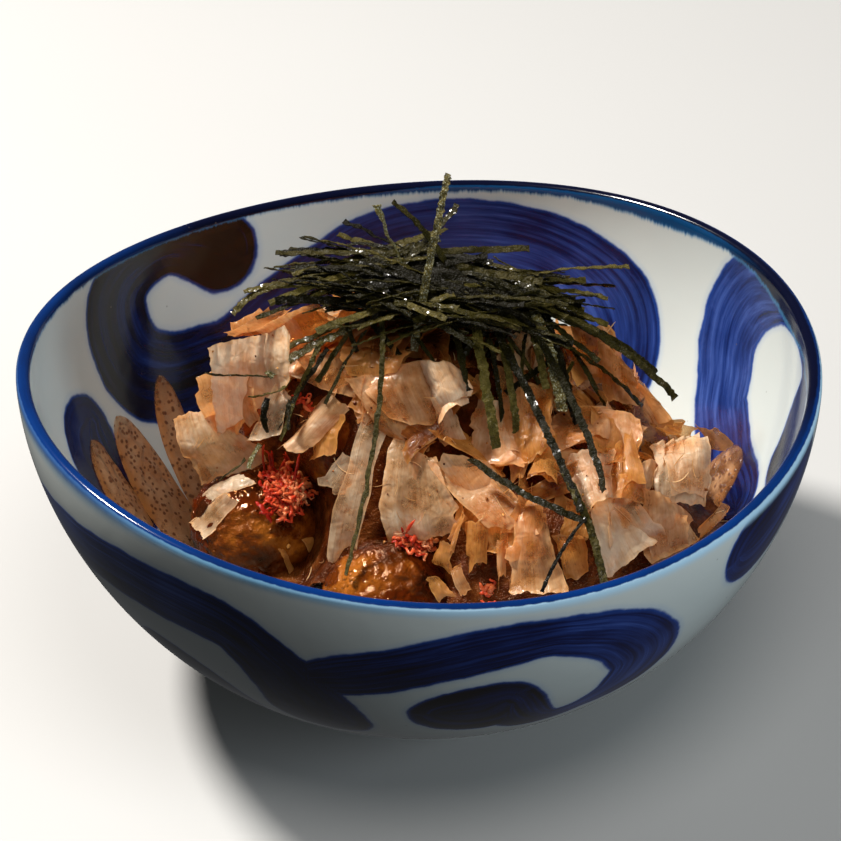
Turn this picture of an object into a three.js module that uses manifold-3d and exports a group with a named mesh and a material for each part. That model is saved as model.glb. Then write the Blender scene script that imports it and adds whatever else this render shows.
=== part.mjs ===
// Takoyaki in a porcelain bowl: seven grilled batter balls, a heap of bonito flakes over them, a nest of nori
// shreds on the heap, pickled ginger on two balls and four streaks of speckled mayonnaise on the bowl's wall.
// Millimetres, +Z up. The origin is the middle of the foot ring's underside, and the front is towards -Y.
import * as THREE from "three";
import { mergeVertices } from "three/addons/utils/BufferGeometryUtils.js";
import Module from "manifold-3d";

const wasm = await Module();
wasm.setup();

// Driving dimensions of the bowl.
const RIM_RADIUS = 105; // to the outside of the lip
const LIP_HEIGHT = 88.5; // mean height of the lip's middle
const LIP_THICKNESS = 3.6;
const RIM_WAVE = 4.7; // the lip rises and falls by this much, twice round
const WAVE_HIGH = THREE.MathUtils.degToRad(23.6); // where the lip is highest
const BODY_RADIUS = 45; // where the wall leaves the underside
const BODY_HEIGHT = 7;
const BODY_FULLNESS = 1.84; // how far down the wall stays steep
const BODY_ROUNDNESS = 1.51; // how round the underside is
const FLOOR_THICKNESS = 5.5;
const FOOT_RADIUS = 40.5;
const FOOT_WIDTH = 4.2;
const FOOT_RECESS = 5.2;
const BOWL_SEGMENTS = 48;
const WALL_STEPS = 8;

// Driving dimensions of the food.
const BALL_RADIUS = 19.6;
const BALL_LUMP = 0.35; // how far a ball's skin leaves the sphere
const GAP = 0.4; // between one node and the next
const FLAKE_THICKNESS = 0.7;
const HEAP_FLOOR = 38; // the underside of the heap, between the balls
const HEAP_EDGE = 45; // the heap ends where its surface is this low
const NORI_WIDTH = 2;
const NORI_THICKNESS = 0.6;

// A seeded random number from 0 to 1, the same on every machine.
function seeded(seed) {
  let state = seed >>> 0;
  return () => {
    state = (Math.imul(state, 1664525) + 1013904223) >>> 0;
    return state / 4294967296;
  };
}

const between = (random, low, high) => low + (high - low) * random();
const vector = (point) => new THREE.Vector3(...point);

// A manifold solid of a closed geometry. Its faces are turned to point out if they point in.
function solidOf(geometry) {
  const plain = geometry.clone();
  plain.deleteAttribute("normal");
  plain.deleteAttribute("uv");
  const merged = mergeVertices(plain, 1e-4);
  const vertProperties = merged.attributes.position.array;
  const triVerts = new Uint32Array(merged.index.array);
  const solid = new wasm.Manifold(new wasm.Mesh({ numProp: 3, vertProperties, triVerts }));
  if (solid.volume() > 0) return solid;
  for (let i = 0; i < triVerts.length; i += 3) {
    [triVerts[i + 1], triVerts[i + 2]] = [triVerts[i + 2], triVerts[i + 1]];
  }
  return new wasm.Manifold(new wasm.Mesh({ numProp: 3, vertProperties, triVerts }));
}

function geometryOf(solid) {
  const mesh = solid.getMesh();
  const geometry = new THREE.BufferGeometry();
  geometry.setAttribute("position", new THREE.BufferAttribute(mesh.vertProperties, 3));
  geometry.setIndex(new THREE.BufferAttribute(mesh.triVerts, 1));
  geometry.computeVertexNormals();
  return geometry;
}

const joined = (solids) => solids.reduce((whole, next) => whole.add(next));
const largest = (solid) => solid.decompose().reduce((a, b) => (a.volume() > b.volume() ? a : b));

// A closed thin solid on a grid of rows. Each grid point holds its place, its normal and the half thickness there.
// Both faces are split into triangles alike, so the sheet stays equally thick where it curls.
function sheet(rows) {
  const across = rows[0].length;
  const count = rows.length * across;
  const positions = [];
  for (const side of [1, -1]) {
    for (const { at, normal, half } of rows.flat()) {
      positions.push(...at.clone().addScaledVector(normal, side * half).toArray());
    }
  }
  const index = [];
  const quad = (a, b, c, d) => index.push(a, b, c, a, c, d);
  for (let i = 0; i + 1 < rows.length; i += 1) {
    for (let j = 0; j + 1 < across; j += 1) {
      const [a, b, c, d] = [i * across + j, (i + 1) * across + j, (i + 1) * across + j + 1, i * across + j + 1];
      quad(a, b, c, d);
      index.push(a + count, c + count, b + count, a + count, d + count, c + count);
    }
    const [start, next] = [i * across, (i + 1) * across];
    const last = across - 1;
    quad(start, start + count, next + count, next);
    quad(next + last, next + last + count, start + last + count, start + last);
  }
  for (let j = 0; j + 1 < across; j += 1) {
    const end = (rows.length - 1) * across + j;
    quad(j + 1, j + 1 + count, j + count, j);
    quad(end, end + count, end + count + 1, end + 1);
  }
  const geometry = new THREE.BufferGeometry();
  geometry.setAttribute("position", new THREE.Float32BufferAttribute(positions, 3));
  geometry.setIndex(index);
  return solidOf(geometry);
}

// ---- Bowl ----

// The outer wall at a share of its height, as radius and height.
function outerWall(share) {
  const reach = (1 - (1 - share) ** BODY_FULLNESS) ** (1 / BODY_ROUNDNESS);
  return new THREE.Vector2(
    BODY_RADIUS + (RIM_RADIUS - BODY_RADIUS) * reach,
    BODY_HEIGHT + (LIP_HEIGHT - BODY_HEIGHT) * share,
  );
}

// The inner wall stands in from the outer one by the wall's thickness, and by a clearance where one is asked for.
function innerWall(share, clearance = 0) {
  const step = 1e-4;
  const [low, high] = [Math.max(share - step, 0), Math.min(share + step, 1)];
  const along = outerWall(high).sub(outerWall(low)).normalize();
  const thickness = FLOOR_THICKNESS + (LIP_THICKNESS - FLOOR_THICKNESS) * Math.sqrt(share) + clearance;
  return outerWall(share).add(new THREE.Vector2(-along.y, along.x).multiplyScalar(thickness));
}

// How much the rim's wave lifts a point at this angle and height.
function waveAt(angle, height) {
  const share = THREE.MathUtils.clamp((height - BODY_HEIGHT) / (LIP_HEIGHT - BODY_HEIGHT), 0, 1);
  return RIM_WAVE * share * Math.cos(2 * (angle - WAVE_HIGH));
}

function turned(profile) {
  const geometry = new THREE.LatheGeometry(profile, BOWL_SEGMENTS).rotateX(Math.PI / 2);
  const position = geometry.attributes.position;
  for (let i = 0; i < position.count; i += 1) {
    const angle = Math.atan2(position.getY(i), position.getX(i));
    position.setZ(i, position.getZ(i) + waveAt(angle, position.getZ(i)));
  }
  return solidOf(geometry);
}

// Shares of the wall's height, closer together where the underside turns into the wall.
const wallShares = Array.from({ length: WALL_STEPS + 1 }, (_, i) => (i / WALL_STEPS) ** 1.7);

function bowlShell() {
  const lipRadius = LIP_THICKNESS / 2;
  const lipMiddle = RIM_RADIUS - lipRadius;
  const lip = [45, 90, 135].map((degrees) => {
    const angle = THREE.MathUtils.degToRad(degrees);
    return new THREE.Vector2(lipMiddle + lipRadius * Math.cos(angle), LIP_HEIGHT + lipRadius * Math.sin(angle));
  });
  const foot = [
    [0, FOOT_RECESS],
    [FOOT_RADIUS - FOOT_WIDTH - 0.8, FOOT_RECESS],
    [FOOT_RADIUS - FOOT_WIDTH, 0],
    [FOOT_RADIUS, 0],
    [FOOT_RADIUS + 1.2, BODY_HEIGHT - 0.8],
  ].map((point) => new THREE.Vector2(...point));
  return turned([
    ...foot,
    ...wallShares.map((share) => outerWall(share)),
    ...lip,
    ...wallShares.toReversed().map((share) => innerWall(share)),
    new THREE.Vector2(0, BODY_HEIGHT + FLOOR_THICKNESS),
  ]);
}

// The room inside the bowl and above it, clear of the wall.
function roomInside() {
  const top = 3 * LIP_HEIGHT;
  const wall = wallShares.map((share) => innerWall(share, GAP));
  return turned([
    new THREE.Vector2(0, BODY_HEIGHT + FLOOR_THICKNESS + GAP),
    ...wall,
    new THREE.Vector2(wall.at(-1).x, top),
    new THREE.Vector2(0, top),
  ]);
}

// A streak of mayonnaise widens as it runs down the inner wall. Its three stations, from its tip to its lower end,
// each hold an angle in degrees, a share of the wall's height and half the streak's width.
const STREAKS = [
  [[144.7, 0.54, 2], [148.4, 0.35, 6], [155, 0.17, 4.8]],
  [[159.6, 0.52, 2], [162.4, 0.34, 9.2], [167.3, 0.17, 8.4]],
  [[170.2, 0.54, 2], [174.2, 0.38, 8], [177, 0.24, 6]],
  [[7.8, 0.47, 3], [8.2, 0.38, 7.6], [7.9, 0.3, 7]],
];
const STREAK_RISE = 1.3;

// A smooth run of values through three stations, at a share from 0 to 1 of the way.
function through([first, middle, last], t) {
  return first.map((value, i) => {
    const bend = 2 * (value + last[i]) - 4 * middle[i];
    return value + (last[i] - value) * t - bend * t * (1 - t);
  });
}

function streak(stations, extra = 0) {
  const steps = 5;
  const rows = [];
  for (let i = 0; i <= steps; i += 1) {
    const t = i / steps;
    const [degrees, share, halfWidth] = through(stations, t);
    const plump = Math.sqrt(Math.max(1 - (2 * t - 1) ** 4, 0.06));
    const { x: radius, y: height } = innerWall(share);
    const slope = innerWall(share + 0.02).sub(innerWall(share - 0.02)).normalize();
    const row = [-1, 0, 1].map((side) => {
      const turn = THREE.MathUtils.degToRad(degrees) + (side * (halfWidth + extra)) / radius;
      return {
        at: new THREE.Vector3(radius * Math.cos(turn), radius * Math.sin(turn), height + waveAt(turn, height)),
        normal: new THREE.Vector3(-slope.y * Math.cos(turn), -slope.y * Math.sin(turn), slope.x),
        half: STREAK_RISE * plump * (1 - 0.6 * side ** 2) + extra,
      };
    });
    rows.push(row);
  }
  return sheet(rows);
}

// ---- Takoyaki balls ----

const BALLS = [
  [-43, 3, 33.5],
  [-7, -31, 32.5],
  [34, -27, 33.5],
  [45, 15, 34.5],
  [7.5, 37.5, 33.5],
  [-33.5, 42, 34.5],
  [-15, 9, 61.5],
];
const BALL_DETAIL = 3;
const BALL_GAP = 0.9; // more than the other gaps, as the room kept clear round a ball has fewer faces than the ball

// Lumps in a ball's batter, from three slow waves that differ from ball to ball.
function lump(direction, number) {
  const { x, y, z } = direction;
  return (
    (Math.sin(4.1 * x + 1.7 * number) + Math.sin(3.3 * y - 2.3 * number) + Math.sin(4.7 * z + 0.9 * number)) / 3
  );
}

function ball(number, extra = 0, detail = BALL_DETAIL) {
  const geometry = new THREE.IcosahedronGeometry(1, detail);
  const position = geometry.attributes.position;
  const point = new THREE.Vector3();
  for (let i = 0; i < position.count; i += 1) {
    point.fromBufferAttribute(position, i).normalize();
    const radius = BALL_RADIUS + extra + BALL_LUMP * lump(point, number);
    position.setXYZ(i, ...point.multiplyScalar(radius).toArray());
  }
  return solidOf(geometry).translate(BALLS[number]);
}

// ---- Flakes and shreds ----

// A flake is a thin leaf from one end to the other. It faces away from a point, turned about its length by roll.
// Bow curves it along its length and cup across it, both in millimetres.
const HEAP_MIDDLE = new THREE.Vector3(8, 10, 34);
const BEHIND_HEAP = new THREE.Vector3(8, 60, 10);

function leafFrame(from, to, roll, awayFrom) {
  const [start, end] = [vector(from), vector(to)];
  const along = end.clone().sub(start).normalize();
  const middle = start.clone().lerp(end, 0.5);
  const face = middle.clone().sub(awayFrom);
  face.addScaledVector(along, -face.dot(along)).normalize();
  face.applyAxisAngle(along, THREE.MathUtils.degToRad(roll));
  return { start, end, face, side: along.clone().cross(face) };
}

function leaf({ from, to, width, roll = 0, bow = 2, cup = 0, steps = 2, awayFrom = BEHIND_HEAP }, extra = 0) {
  const { start, end, face, side } = leafFrame(from, to, roll, awayFrom);
  const length = start.distanceTo(end);
  const columns = cup === 0 ? [-1, 1] : [-1, 0, 1];
  const rows = [];
  for (let i = 0; i <= steps; i += 1) {
    const along = (2 * i) / steps - 1;
    const wide = (width / 2) * (1 - 0.3 * along ** 2) + extra;
    const row = columns.map((across) => ({
      at: start
        .clone()
        .lerp(end, 0.5 + (along / 2) * (1 + (2 * extra) / length))
        .addScaledVector(side, across * wide)
        .addScaledVector(face, bow * (1 - along ** 2) - cup * across ** 2),
      normal: face,
      half: FLAKE_THICKNESS / 2 + extra,
    }));
    rows.push(row);
  }
  return sheet(rows);
}

// A shred follows a smooth line through three points, and lies flat unless roll turns it.
const UPRIGHT = 0.2; // a line steeper than this has no side of its own

function shred({ path, width = NORI_WIDTH, roll = 0, thickness = NORI_THICKNESS, steps = 3 }, extra = 0) {
  const [a, b, c] = path.map(vector);
  const control = b.clone().multiplyScalar(2).addScaledVector(a, -0.5).addScaledVector(c, -0.5);
  const curve = new THREE.QuadraticBezierCurve3(a, control, c);
  const rows = [];
  for (let i = 0; i <= steps; i += 1) {
    const t = i / steps;
    const tangent = curve.getTangent(t);
    const side = new THREE.Vector3(0, 0, 1).cross(tangent);
    if (side.length() < UPRIGHT) side.set(1, 0.3, 0);
    side.normalize().applyAxisAngle(tangent, THREE.MathUtils.degToRad(roll));
    const normal = tangent.clone().cross(side).normalize();
    const place = curve.getPoint(t).addScaledVector(tangent, extra * (2 * t - 1));
    rows.push(
      [-1, 1].map((across) => ({
        at: place.clone().addScaledVector(side, across * (width / 2 + extra)),
        normal,
        half: thickness / 2 + extra,
      })),
    );
  }
  return sheet(rows);
}

// ---- What lies on single balls ----

// A tuft of pickled ginger: short shreds that cross at one spot of a ball's skin.
const GINGER = [
  { ball: 0, towards: [0.42, -0.58, 0.69], spread: 6.5, shreds: 5, seed: 11 },
  { ball: 1, towards: [0.3, 0.02, 0.95], spread: 5, shreds: 3, seed: 23 },
];

function gingerShreds({ ball: number, towards, spread, shreds, seed }) {
  const random = seeded(seed);
  const outward = vector(towards).normalize();
  const side = new THREE.Vector3(1, 0, 0).cross(outward).normalize();
  const middle = vector(BALLS[number]).addScaledVector(outward, BALL_RADIUS + 0.6);
  return Array.from({ length: shreds }, (_, i) => {
    const heading = (Math.PI * (i + random() * 0.6)) / shreds;
    const reach = side.clone().applyAxisAngle(outward, heading).multiplyScalar(spread * between(random, 0.7, 1));
    const rise = outward.clone().multiplyScalar(between(random, 0.4, 1.8));
    const drop = outward.clone().multiplyScalar(-spread * 0.16);
    return {
      path: [middle.clone().add(reach).add(drop), middle.clone().add(rise), middle.clone().sub(reach).add(drop)],
      width: between(random, 1.8, 2.6),
      thickness: 1.6,
      steps: 2,
    };
  });
}

// Two small flakes that stuck to the first ball's sauce.
const STUCK_FLAKES = [
  { from: [-56.5, -11.5, 38.5], to: [-42, -10, 50.5], width: 7, roll: -40, bow: 1.2, cup: -0.8 },
  { from: [-57.5, -3.5, 45], to: [-44, -4, 53.4], width: 6, roll: -20, bow: 1.6, cup: 0.6 },
];

// ---- Bonito heap ----

// The heap's surface is the highest of three smooth humps.
const HEAP_BASE = 30;
const HUMPS = [
  { x: 4, y: 12, height: 95, spreadX: 64, spreadY: 41 },
  { x: 40, y: -16, height: 74, spreadX: 48, spreadY: 38 },
  { x: -38, y: 16, height: 84, spreadX: 22, spreadY: 18 },
];

function heapHeight(x, y) {
  const heights = HUMPS.map((hump) => {
    const reach = Math.hypot((x - hump.x) / hump.spreadX, (y - hump.y) / hump.spreadY);
    return HEAP_BASE + (hump.height - HEAP_BASE) * Math.exp(-(reach ** 3));
  });
  return Math.max(...heights);
}

const CORE_SINK = 5; // the core's top lies this far under the heap's surface
const BARE_SPOTS = [
  { middle: [-52, -20, 56], radius: 31 }, // where the first ball shows
  { middle: [-9, -47, 52], radius: 20 }, // where the second ball shows
  { middle: [-33, -10, 75], radius: 15 }, // where the upper ball shows
];

// The core runs out from the middle of the heap to where its surface has come down to its edge.
function heapCore() {
  const [spokes, rings] = [26, 5];
  const { x: middleX, y: middleY } = HEAP_MIDDLE;
  const positions = [middleX, middleY, heapHeight(middleX, middleY) - CORE_SINK, middleX, middleY, HEAP_FLOOR];
  for (let i = 0; i < spokes; i += 1) {
    const angle = (2 * Math.PI * i) / spokes;
    const [dx, dy] = [Math.cos(angle), Math.sin(angle)];
    let reach = 20;
    while (heapHeight(middleX + dx * reach, middleY + dy * reach) > HEAP_EDGE) reach += 1;
    for (let ring = 1; ring <= rings; ring += 1) {
      const distance = (reach * ring) / rings;
      const [x, y] = [middleX + dx * distance, middleY + dy * distance];
      const rough = 1.6 * Math.sin(5 * angle + 1.9 * ring);
      positions.push(x, y, heapHeight(x, y) - CORE_SINK + rough);
    }
    positions.push(middleX + dx * reach * 0.97, middleY + dy * reach * 0.97, HEAP_FLOOR);
  }
  const index = [];
  const at = (spoke, ring) => 2 + (spoke % spokes) * (rings + 1) + ring;
  for (let i = 0; i < spokes; i += 1) {
    index.push(0, at(i, 0), at(i + 1, 0));
    for (let ring = 0; ring < rings; ring += 1) {
      index.push(at(i, ring), at(i, ring + 1), at(i + 1, ring + 1));
      index.push(at(i, ring), at(i + 1, ring + 1), at(i + 1, ring));
    }
    index.push(1, at(i + 1, rings), at(i, rings));
  }
  const geometry = new THREE.BufferGeometry();
  geometry.setAttribute("position", new THREE.Float32BufferAttribute(positions, 3));
  geometry.setIndex(index);
  const bare = BARE_SPOTS.map(({ middle, radius }) =>
    solidOf(new THREE.IcosahedronGeometry(radius, 1)).translate(middle),
  );
  return solidOf(geometry).subtract(joined(bare));
}

// The large flakes that show, from the left round the front to the right.
const LARGE_FLAKES = [
  { from: [-43, 0, 66], to: [-44, 8, 94], width: 27, roll: 8, bow: 3, cup: 2 },
  { from: [-30, 6, 80], to: [-35, 13, 99], width: 15, roll: -10, bow: 1, cup: 1 },
  { from: [-57, 14, 84], to: [-32, 17, 95], width: 8, roll: 10, bow: 2, cup: 0 },
  { from: [-43, -5, 66], to: [-34, -2, 84], width: 11, roll: 20, bow: 2, cup: 1 },
  { from: [-25, -4, 84], to: [-37, -9, 68], width: 6, roll: 10, bow: 1, cup: -2 },
  { from: [-38, 2, 66], to: [-64, 9, 65], width: 17, roll: 20, bow: 2, cup: 2 },
  { from: [-26, 1, 88], to: [-5, -3, 93], width: 16, roll: -15, bow: 1, cup: 1 },
  { from: [-18, -8, 84], to: [4, -11, 87], width: 18, roll: 8, bow: 2, cup: 2 },
  { from: [-10, -11, 86], to: [-23, -31, 47], width: 17, roll: 12, bow: 3, cup: 2 },
  { from: [1, -14, 81], to: [-1, -33, 51], width: 21, roll: -8, bow: 3, cup: 2 },
  { from: [4, -6, 95], to: [10, -17, 82], width: 12, roll: 10, bow: 1, cup: -3 },
  { from: [12, -10, 88], to: [21, -24, 72], width: 19, roll: -12, bow: 2, cup: 1 },
  { from: [2, -20, 73], to: [28, -38, 67], width: 13, roll: 10, bow: 3, cup: 1 },
  { from: [25, -37, 68], to: [29, -52, 49], width: 16, roll: -6, bow: 2, cup: 1 },
  { from: [13, -29, 66], to: [11, -42, 53], width: 7, roll: 10, bow: 2, cup: -1 },
  { from: [18, -32, 67], to: [21, -46, 54], width: 7, roll: -10, bow: 2, cup: -1 },
  { from: [25, -8, 87], to: [33, -30, 72], width: 16, roll: 14, bow: 2, cup: 1 },
  { from: [37, -4, 86], to: [44, -37, 69], width: 19, roll: -10, bow: 3, cup: 1 },
  { from: [47, -30, 74], to: [56, -50, 51], width: 22, roll: 5, bow: 2, cup: 2 },
  { from: [58, -32, 67], to: [71, -40, 52], width: 17, roll: -10, bow: 2, cup: 1 },
  { from: [62, 0, 71], to: [72, -12, 50], width: 22, roll: 10, bow: 3, cup: 2 },
  { from: [62, 6, 68], to: [84, 2, 63], width: 9, roll: 20, bow: 2, cup: -1 },
  { from: [47, 1, 79], to: [60, -10, 60], width: 17, roll: -20, bow: 2, cup: 1 },
  { from: [42, 12, 91], to: [59, 8, 73], width: 15, roll: 10, bow: 2, cup: 1 },
];
const SMALL_FLAKES = 16;

const isBare = (point) => BARE_SPOTS.some(({ middle, radius }) => point.distanceTo(vector(middle)) < radius);

// Smaller flakes are strewn over the heap in a golden-angle spiral and tipped at random.
function smallFlake(number, random) {
  const angle = number * 2.39996;
  const reach = 12 + 50 * Math.sqrt((number + 0.5) / SMALL_FLAKES);
  const x = HEAP_MIDDLE.x + reach * Math.cos(angle);
  const y = HEAP_MIDDLE.y + 0.74 * reach * Math.sin(angle);
  const heading = between(random, 0, 2 * Math.PI);
  const half = between(random, 8, 14);
  const place = (side) => {
    const [px, py] = [x + side * half * Math.cos(heading), y + side * half * Math.sin(heading)];
    return [px, py, heapHeight(px, py) + between(random, -2, 2.5)];
  };
  return {
    from: place(-1),
    to: place(1),
    width: between(random, 9, 17),
    roll: between(random, -35, 35),
    bow: between(random, 0.5, 3),
    awayFrom: HEAP_MIDDLE,
  };
}

// ---- Nori nest ----

// The shreds that stand or hang clear of the nest.
const LOOSE_SHREDS = [
  { path: [[6, 6, 139], [3, 3, 121], [0, 3, 99]] },
  { path: [[-11, 16, 127], [-9, 14, 122], [-4, 13, 110]] },
  { path: [[-7, 20, 126], [1, 17, 119], [8, 14, 109]] },
  { path: [[10, 22, 124], [4, 18, 118], [-6, 14, 109]] },
  { path: [[-20, 24, 118], [-10, 20, 115], [4, 16, 110]] },
  { path: [[18, 5, 101], [32, -20, 82], [41, -40, 69]], roll: 10 },
  { path: [[37, -31, 75], [43, -42, 66], [47, -51, 54]], roll: 10 },
  { path: [[28, 4, 100], [41, -14, 82], [47, -35, 72]], roll: 10 },
  { path: [[-10, 4, 102], [-11, -16, 80], [-19, -37, 47]], roll: 10, width: 1.4 },
  { path: [[13, -23, 74], [27, -35, 71], [42.5, -41, 67]] },
  { path: [[42, -41, 68], [36, -46, 61], [31, -51, 52]], width: 0.9 },
  { path: [[9, 5, 101], [11, -7, 93], [13, -11, 87]] },
  { path: [[14, 5, 101], [17, -10, 89], [20, -20, 75]], width: 2.6 },
  { path: [[20, 6, 100], [24, -11, 86], [25, -17, 78]] },
  { path: [[28, 12, 99], [31, 0, 92], [33, -7, 85]] },
  { path: [[30, 10, 100], [35, -3, 89], [37, -10, 80]], width: 3 },
  { path: [[33, 10, 99], [38, -3, 86], [41, -10, 76]] },
  { path: [[-6, 6, 102], [-28, 5, 91], [-40, 4, 82]], width: 2.6 },
  { path: [[24, 10, 103], [50, 7, 91], [68, 4, 75]] },
  { path: [[22, 12, 102], [46, 10, 93], [63, 7, 81]], roll: 20 },
  { path: [[14, 8, 101], [42, 6, 88], [59, 3, 73]] },
  { path: [[-49, 6, 100], [-36, 10, 107], [-14, 12, 107]], roll: 15 },
  { path: [[-46, 9, 105], [-31, 12, 107], [-12, 14, 107]] },
  { path: [[-38, 19, 111], [-6, 18, 112], [29, 18, 113]] },
  { path: [[-40, 6, 88], [-29, 7, 92], [-12, 9, 101]], roll: 10 },
  { path: [[56, 24, 104], [41, 22, 104.5], [22, 20, 103]] },
  { path: [[50, 14, 100], [38, 15, 102], [18, 16, 103]] },
];
const NEST_SHREDS = 23;
const NEST_MIDDLE = new THREE.Vector3(4, 11, 104);
const NEST_RADII = [31, 17, 8.5]; // how far from its middle the shreds cross
const NEST_CORE_SHARE = 0.8; // the solid core's size beside that
const NEST_TILT = THREE.MathUtils.degToRad(7); // down to the right
const NEST_CLEARANCE = 3; // from the heap's surface up to the lowest point of a shred

function nestCore(extra = 0) {
  const geometry = new THREE.IcosahedronGeometry(1, 2);
  geometry.scale(...NEST_RADII.map((radius) => NEST_CORE_SHARE * radius + extra)).rotateY(NEST_TILT);
  return solidOf(geometry).translate(NEST_MIDDLE.toArray());
}

// The nest's shreds lie mostly left to right through its core, and slope down with the heap towards the right.
function nestShred(random) {
  const [radiusX, radiusY, radiusZ] = NEST_RADII;
  const along = between(random, -0.85, 0.85);
  const depth = between(random, -0.9, 0.9) * Math.sqrt(1 - along ** 2);
  const height = between(random, -0.9, 0.9) * Math.sqrt(1 - along ** 2 - depth ** 2);
  const middle = new THREE.Vector3(radiusX * along, radiusY * depth, radiusZ * height)
    .applyAxisAngle(new THREE.Vector3(0, 1, 0), NEST_TILT)
    .add(NEST_MIDDLE);
  const heading = THREE.MathUtils.degToRad(between(random, -35, 35));
  const slope = THREE.MathUtils.degToRad(between(random, -16, 12) - 14 * Math.max(along, 0));
  const half = between(random, 15, 22);
  const reach = new THREE.Vector3(
    half * Math.cos(heading) * Math.cos(slope),
    half * Math.sin(heading) * Math.cos(slope),
    half * Math.sin(slope),
  );
  const sag = new THREE.Vector3(0, 0, between(random, -0.5, 2.5));
  const path = [middle.clone().sub(reach), middle.clone().add(sag), middle.clone().add(reach)];
  const sunk = Math.max(...path.map(({ x, y, z }) => heapHeight(x, y) + NEST_CLEARANCE - z));
  path.forEach((point) => point.setZ(point.z + Math.max(sunk, 0)));
  return { path, roll: between(random, -50, 50), steps: 2 };
}

// ---- Putting it together ----

function build() {
  const room = roomInside();
  const streaks = STREAKS.map((each) => streak(each));
  const bowl = joined([bowlShell(), ...streaks]);

  const toppings = (extra) => [
    ...GINGER.map((tuft) => ({ ball: tuft.ball, solids: gingerShreds(tuft).map((each) => shred(each, extra)) })),
    { ball: 0, solids: STUCK_FLAKES.map((each) => leaf(each, extra)) },
  ];
  const balls = BALLS.map((_, number) => {
    const own = toppings(0).filter((topping) => topping.ball === number);
    return largest(joined([ball(number), ...own.flatMap((topping) => topping.solids)]).intersect(room));
  });

  const noriRandom = seeded(7);
  const shreds = [...LOOSE_SHREDS, ...Array.from({ length: NEST_SHREDS }, () => nestShred(noriRandom))];
  const nori = largest(joined([nestCore(), ...shreds.map((each) => shred(each))]));

  const flakeRandom = seeded(3);
  const small = Array.from({ length: SMALL_FLAKES }, (_, number) => smallFlake(number, flakeRandom)).filter(
    ({ from, to }) => !isBare(vector(from)) && !isBare(vector(to)),
  );
  const heap = joined([heapCore(), ...[...LARGE_FLAKES, ...small].map((each) => leaf(each))]);
  const keptClear = joined([
    ...BALLS.map((_, number) => ball(number, BALL_GAP, BALL_DETAIL - 1)),
    ...toppings(GAP).flatMap((topping) => topping.solids),
    ...STREAKS.map((each) => streak(each, GAP)),
    nestCore(GAP),
    ...shreds.map((each) => shred(each, GAP)),
  ]);
  const bonito = largest(heap.intersect(room).subtract(keptClear));
  return { bowl, balls, bonito, nori };
}

const LOOKS = {
  porcelain: new THREE.MeshStandardMaterial({ color: 0xc9cfd2, roughness: 0.12 }),
  batter: new THREE.MeshStandardMaterial({ color: 0x7a3d16, roughness: 0.35 }),
  bonito: new THREE.MeshStandardMaterial({ color: 0xc9986c, roughness: 0.55 }),
  nori: new THREE.MeshStandardMaterial({ color: 0x1c2213, roughness: 0.45 }),
};

function named(name, solid, material) {
  const mesh = new THREE.Mesh(geometryOf(solid), material);
  mesh.name = name;
  return mesh;
}

const { bowl, balls, bonito, nori } = build();
const dish = new THREE.Group();
dish.add(named("bowl", bowl, LOOKS.porcelain));
balls.forEach((solid, number) => dish.add(named(`takoyaki_${number + 1}`, solid, LOOKS.batter)));
dish.add(named("bonito_flakes", bonito, LOOKS.bonito));
dish.add(named("nori_shreds", nori, LOOKS.nori));

export default dish;
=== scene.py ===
# Takoyaki in a porcelain bowl, dressed with sauce, bonito flakes, nori shreds, pickled ginger and mayonnaise.
# Metres, +Z up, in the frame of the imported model. Sizes are written in millimetres and scaled where a mesh is made.
import math

import bmesh
import bpy
import numpy as np
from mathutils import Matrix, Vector
from mathutils.bvhtree import BVHTree


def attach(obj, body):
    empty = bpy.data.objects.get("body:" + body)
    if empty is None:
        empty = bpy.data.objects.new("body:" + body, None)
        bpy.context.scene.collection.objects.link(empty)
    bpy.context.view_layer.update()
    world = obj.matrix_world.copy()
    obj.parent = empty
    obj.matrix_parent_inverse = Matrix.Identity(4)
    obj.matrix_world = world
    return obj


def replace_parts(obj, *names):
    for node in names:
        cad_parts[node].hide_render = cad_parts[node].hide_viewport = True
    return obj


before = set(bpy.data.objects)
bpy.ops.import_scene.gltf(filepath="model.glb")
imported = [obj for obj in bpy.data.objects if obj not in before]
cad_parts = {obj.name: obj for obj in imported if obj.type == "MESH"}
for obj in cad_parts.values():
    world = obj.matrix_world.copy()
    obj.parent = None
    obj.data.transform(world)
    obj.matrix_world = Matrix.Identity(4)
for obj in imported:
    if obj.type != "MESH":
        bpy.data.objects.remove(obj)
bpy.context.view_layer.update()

# ---- Bowl ----
# Thin porcelain thrown as a round bowl, its rim pulled into two high and two low sides before firing. Curling
# bands are brushed on in cobalt under a clear glaze, and the foot ring is wiped bare so that it doesn't stick.

MM = 0.001  # a millimetre in metres
RIM_RADIUS = 105.0
LIP_HEIGHT = 88.5
LIP_THICKNESS = 3.6
RIM_WAVE = 4.7
WAVE_HIGH = math.radians(23.6)  # where the rim is highest, and again half a turn on
BODY_RADIUS = 45.0
BODY_HEIGHT = 7.0
BODY_FULLNESS, BODY_ROUNDNESS = 1.84, 1.51  # the powers of the wall's curve
FLOOR_THICKNESS = 5.5
FOOT_RADIUS = 40.5
FOOT_WIDTH = 4.2
FOOT_RECESS = 5.2
BOWL_SPOKES = 400  # round the bowl's mesh
BOWL_ROW_GAP = 1.35  # between two rows of the bowl's mesh

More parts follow.
